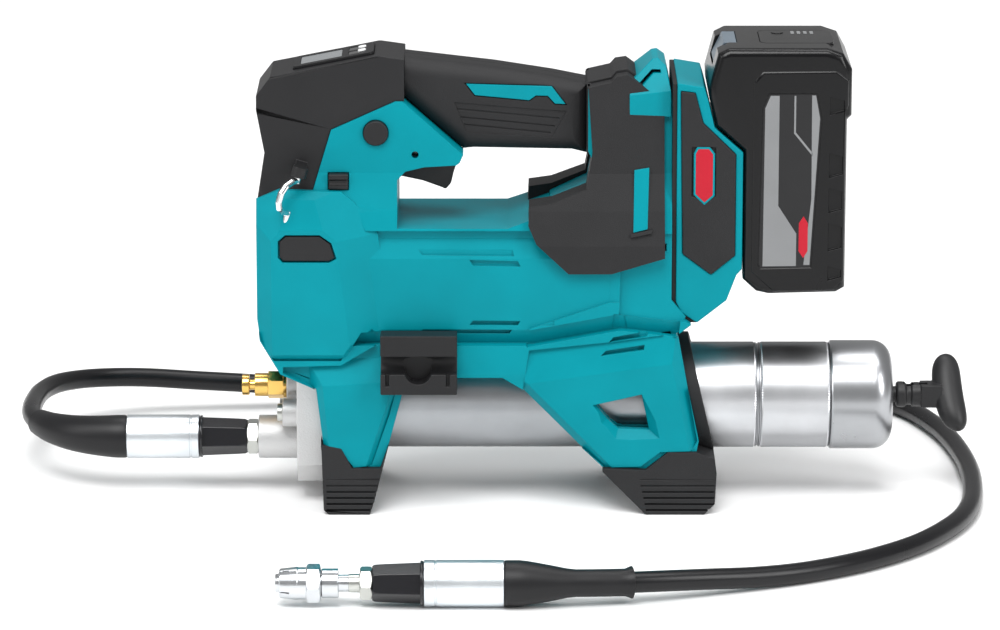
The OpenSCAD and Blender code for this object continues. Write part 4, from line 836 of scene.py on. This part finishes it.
HOOK = [(12, 226), (12, 243), (25, 255.3), (28, 255.9), (32.5, 252), (35.3, 239), (35.3, 225)]
HOOK_SIDE = [((11, 237), (36, 240), 29.6, 17, 15.5)]
SLIT = [(14.6, 240.4), (24.6, 250), (29.4, 250), (29.6, 248.2), (25.4, 248.2), (16, 239)]
hook = planed(planed(block(HOOK, -29.6, 29.6), HOOK_SIDE, -1), HOOK_SIDE, 1)
slits = [block(SLIT, side * 11, side * 30) for side in (-1, 1)]
hook = soften(together([hook] + slits, "DIFFERENCE"), 0.5, 2, 24)
piece(hook, "hanging_hook", "casing", teal_plastic, "strap_hook", slot="teal_shell")
chrome = metal("chrome_wire", (0.8, 0.81, 0.82), 0.12, grain=1, depth=0.04)
bpy.data.objects["strap_ring"].material_slots[0].material = chrome

# ---- Trigger and locks ----------------------------------------------------------------------------
# Black glass-filled nylon trigger on a steel pin, a round lock button through the tower above it,
# and a small sliding catch below.
refined("trigger", "trigger", black_plastic, "black_plastic", 1.0, segments=3)
refined("lock_button", "lock_button", black_plastic, "black_plastic", 0.9, segments=3)
refined("lock_slide", "lock_slide", black_plastic, "black_plastic", 0.8, segments=3, cuts=[
    groove((-157, 188.3), (-145, 188.3), 33.5, 0.7, 2.6)])
plated = metal("plated_steel", (0.42, 0.44, 0.45), 0.34, grain=0.5, depth=0.2)
refined("trigger_pin", "casing", plated, "steel", 0.2)
refined("housing_screws", "casing", plated, "steel", 0.15)

# ---- Pump head -----------------------------------------------------------------------------------
# Die-cast aluminium head, bead-blasted to a bright dull grey, with two zinc-plated bolts, the
# hose port, and a brass bleed valve that lets the air out.
cast = metal("cast_aluminium", (0.6, 0.6, 0.6), 0.52, grain=0.9, depth=0.5, drift=0.06)
brass = metal("brass", (0.72, 0.46, 0.13), 0.2, stretch=(0.2, 1, 1), grain=0.6, depth=0.15)
refined("pump_head", "casing", cast, "cast_head", 0.7, segments=3, sharper=30)
refined("head_bolts", "casing", zinc_nut, "zinc_plate", 0.25)
refined("bleed_valve", "casing", brass, "brass_valve", 0.3)
refined("bleed_button", "bleed_button", brass, "brass_valve", 0.4)

# ---- Barrel, cap and collar ------------------------------------------------------------------------
# Zinc-plated steel tube that holds the cartridge. Its rear half is knurled for the hand, in two
# belts parted by a smooth groove, and a polished cap closes its end.
tube_steel = metal("tube_steel", (0.36, 0.37, 0.385), 0.34, stretch=(0.15, 1, 1), grain=0.7, depth=0.12)
knurl_steel = metal("knurled_steel", (0.66, 0.67, 0.69), 0.36, grain=0.6, depth=0.1)
cap_steel = metal("cap_steel", (0.42, 0.43, 0.445), 0.3, stretch=(1, 0.1, 0.1), grain=0.5, depth=0.12)
BARREL_R, BARREL_Z = 30, 57


def turned_ring(profile, centre, steps=96):
    """A hollow body turned from a closed loop of (along, radius) pairs."""
    bm = bmesh.new()
    loop = [bm.verts.new(Vector(centre) + Vector((x, 0, r))) for x, r in profile]
    edges = [bm.edges.new((loop[i - 1], loop[i])) for i in range(len(loop))]
    bmesh.ops.spin(bm, geom=loop + edges, cent=centre, axis=(1, 0, 0), angle=math.tau, steps=steps,
                   use_merge=True)
    bmesh.ops.remove_doubles(bm, verts=bm.verts, dist=0.001)
    bmesh.ops.recalc_face_normals(bm, faces=bm.faces)
    return bm


def knurled(x0, x1, around=250, pitch=0.75, low=29.6, high=30.15, inner=29.2):
    """A knurled belt: a grid of small pyramids wrapped round the tube and closed underneath."""
    along = round((x1 - x0) / pitch)
    bm = bmesh.new()
    bmesh.ops.create_grid(bm, x_segments=along, y_segments=around, size=0.5)
    rim = []
    for v in bm.verts:
        i = round((v.co.x + 0.5) * along)
        j = round((v.co.y + 0.5) * around) % around
        r = high if (i + j) % 2 and 0 < i < along else low
        turn = math.tau * j / around
        v.co = (x0 + (x1 - x0) * i / along, r * math.cos(turn), BARREL_Z + r * math.sin(turn))
    bmesh.ops.remove_doubles(bm, verts=bm.verts, dist=0.001)
    for end in (x0, x1):
        ring = [e for e in bm.edges if e.is_boundary and all(abs(v.co.x - end) < 0.01 for v in e.verts)
                and (e.verts[0].co - Vector((end, 0, BARREL_Z))).length > inner + 0.1]
        step = bmesh.ops.extrude_edge_only(bm, edges=ring)
        fresh = [v for v in step["geom"] if isinstance(v, bmesh.types.BMVert)]
        bmesh.ops.scale(bm, vec=(1, inner / low, inner / low), verts=fresh,
                        space=Matrix.Translation((0, 0, -BARREL_Z)))
        rim += [e for e in step["geom"] if isinstance(e, bmesh.types.BMEdge)
                and all(v in fresh for v in e.verts)]
    bmesh.ops.bridge_loops(bm, edges=rim)
    bmesh.ops.recalc_face_normals(bm, faces=bm.faces)
    return bm


axis = (0, 0, BARREL_Z)
tube = turned_ring([(-155.7, 28.2), (-155.7, 29.6), (-155.3, 30), (47, 30), (47.4, 29.4), (84.8, 29.4),
                    (85.2, 29.9), (85.6, 29.9), (86, 29.2), (86.6, 29.2), (87, 29.9), (87.6, 29.9),
                    (88, 29.4), (126.4, 29.4), (126.8, 29.8), (127, 29.6), (127, 28.2)], axis)
piece(tube, "barrel_tube_wall", "barrel", tube_steel, "barrel_tube", slot="barrel_steel", smooth=30)
piece(knurled(47.4, 84.8), "front_knurl", "barrel", knurl_steel, slot="barrel_steel", smooth=5)
piece(knurled(88, 126.4), "rear_knurl", "barrel", knurl_steel, slot="barrel_steel", smooth=5)
corner = [(152 + 11 * math.sin(a), 20 + 11 * math.cos(a))
          for a in (math.radians(k * 9) for k in range(11))]
cap = turned_ring([(119.2, 26), (119.2, 28), (127.2, 28), (127.2, 29.6), (127.6, 30.5), (128.4, 31)]
                  + corner + [(162.9, 7), (162.4, 5.2), (158, 5.2), (158, 24), (155, 26)], axis, 128)
piece(cap, "barrel_end_cap", "barrel", cap_steel, "barrel_cap", slot="barrel_steel", smooth=25)
refined("barrel_collar", "casing", elastomer, "black_overmould", 0.5)
seat = turned([(-60, 0), (-60, 7.5), (-43, 7.5), (-43, 0)], (-106.4, 0, 84.6), 40, (0, 1, 0))
back = turned([(-45, 0), (-45, 9), (-42, 9), (-42, 0)], (-106.4, 0, 84.6), 40, (0, 1, 0))
piece(back, "holder_plug", "casing", black_plastic, slot="black_plastic")
refined("hose_holder", "casing", black_plastic, "black_plastic", 0.6, segments=2,
        cuts=[seat, slab(-124.6, -122.8, -60, -52.6, 76, 88), slab(-90.6, -88.8, -60, -52.6, 76, 88)])

# ---- Follower rod and its handle --------------------------------------------------------------------
# Glass-filled nylon rod with a moulded hub and a rounded cross handle. It draws the follower back
# when the barrel is filled.
nylon = moulded("nylon", (0.016, 0.016, 0.017), 0.42, grain=0.4, depth=0.25)
stem = turned([(-151.7, 0), (-151.7, 4.2), (-151, 4.6), (166, 4.6), (166, 6.6), (167, 7.4), (171, 7.4),
               (172, 6), (174.5, 6), (175, 7), (180, 7), (181, 5.6), (196, 5.2), (198, 0)], axis, 40)
bar_way = Vector((0, 0.62, 0.78)).normalized()
bar_mid = Vector((198.5, 0, BARREL_Z + 1))
bar = bmesh.new()
bmesh.ops.create_uvsphere(bar, u_segments=32, v_segments=20, radius=1)
for v in bar.verts:
    t = v.co.z
    fat = math.sqrt(1 + t * t)
    v.co = bar_mid + bar_way * (t * 24) + Vector((8.5 * fat * v.co.x + 2 * t * t - 2.6 - 2.6 * t, 0, 0)) \
        + Vector((1, 0, 0)).cross(bar_way) * (6.4 * fat * v.co.y)
hub = slab(-6, 6, -6.5, 6.5, -6.5, 6.5)
bmesh.ops.translate(hub, verts=hub.verts, vec=(186, 0, BARREL_Z))
notch = [slab(170, 176, -2.6, 2.6, 59.5, 68), slab(179, 184, -2.6, 2.6, 59.5, 68)]
rod = together([together([stem, hub, bar]), *notch], "DIFFERENCE")
soften(rod, 0.5, 3, 38)
piece(rod, "follower_rod_and_handle", "rod", nylon, "follower_rod", slot="black_nylon", smooth=45)


# ---- Drive and controls inside the casing -------------------------------------------------------
# Brushless motor, hardened gears, crank and plunger in a cast gearbox, with the switch and the
# controller board beside them. The battery holds ten cells in shrink wrap.
windings = metal("copper_windings", (0.6, 0.25, 0.12), 0.36, stretch=(0.2, 1, 1), grain=0.6, depth=0.5)
ground_steel = metal("ground_steel", (0.55, 0.56, 0.57), 0.22, stretch=(1, 0.2, 1), grain=0.5)
board_green = moulded("board_green", (0.01, 0.09, 0.035), 0.35, grain=0.5, depth=0.1)
cell_wrap = moulded("cell_wrap", (0.02, 0.1, 0.24), 0.3, grain=0.4, depth=0.1, sheen=0.3)
for finish, names in ((windings, ["motor_stator"]), (board_green, ["controller"]),
                      (cell_wrap, ["battery_cells"]), (cast, ["gearbox_case"]),
                      (black_plastic, ["terminal_block", "switch"]), (nylon, ["follower"]),
                      (ground_steel, ["motor_rotor", "bearings", "layshaft", "crank", "plunger",
                                      "follower_spring"])):
    for name in names:
        for held in bpy.data.objects[name].material_slots:
            held.material = finish
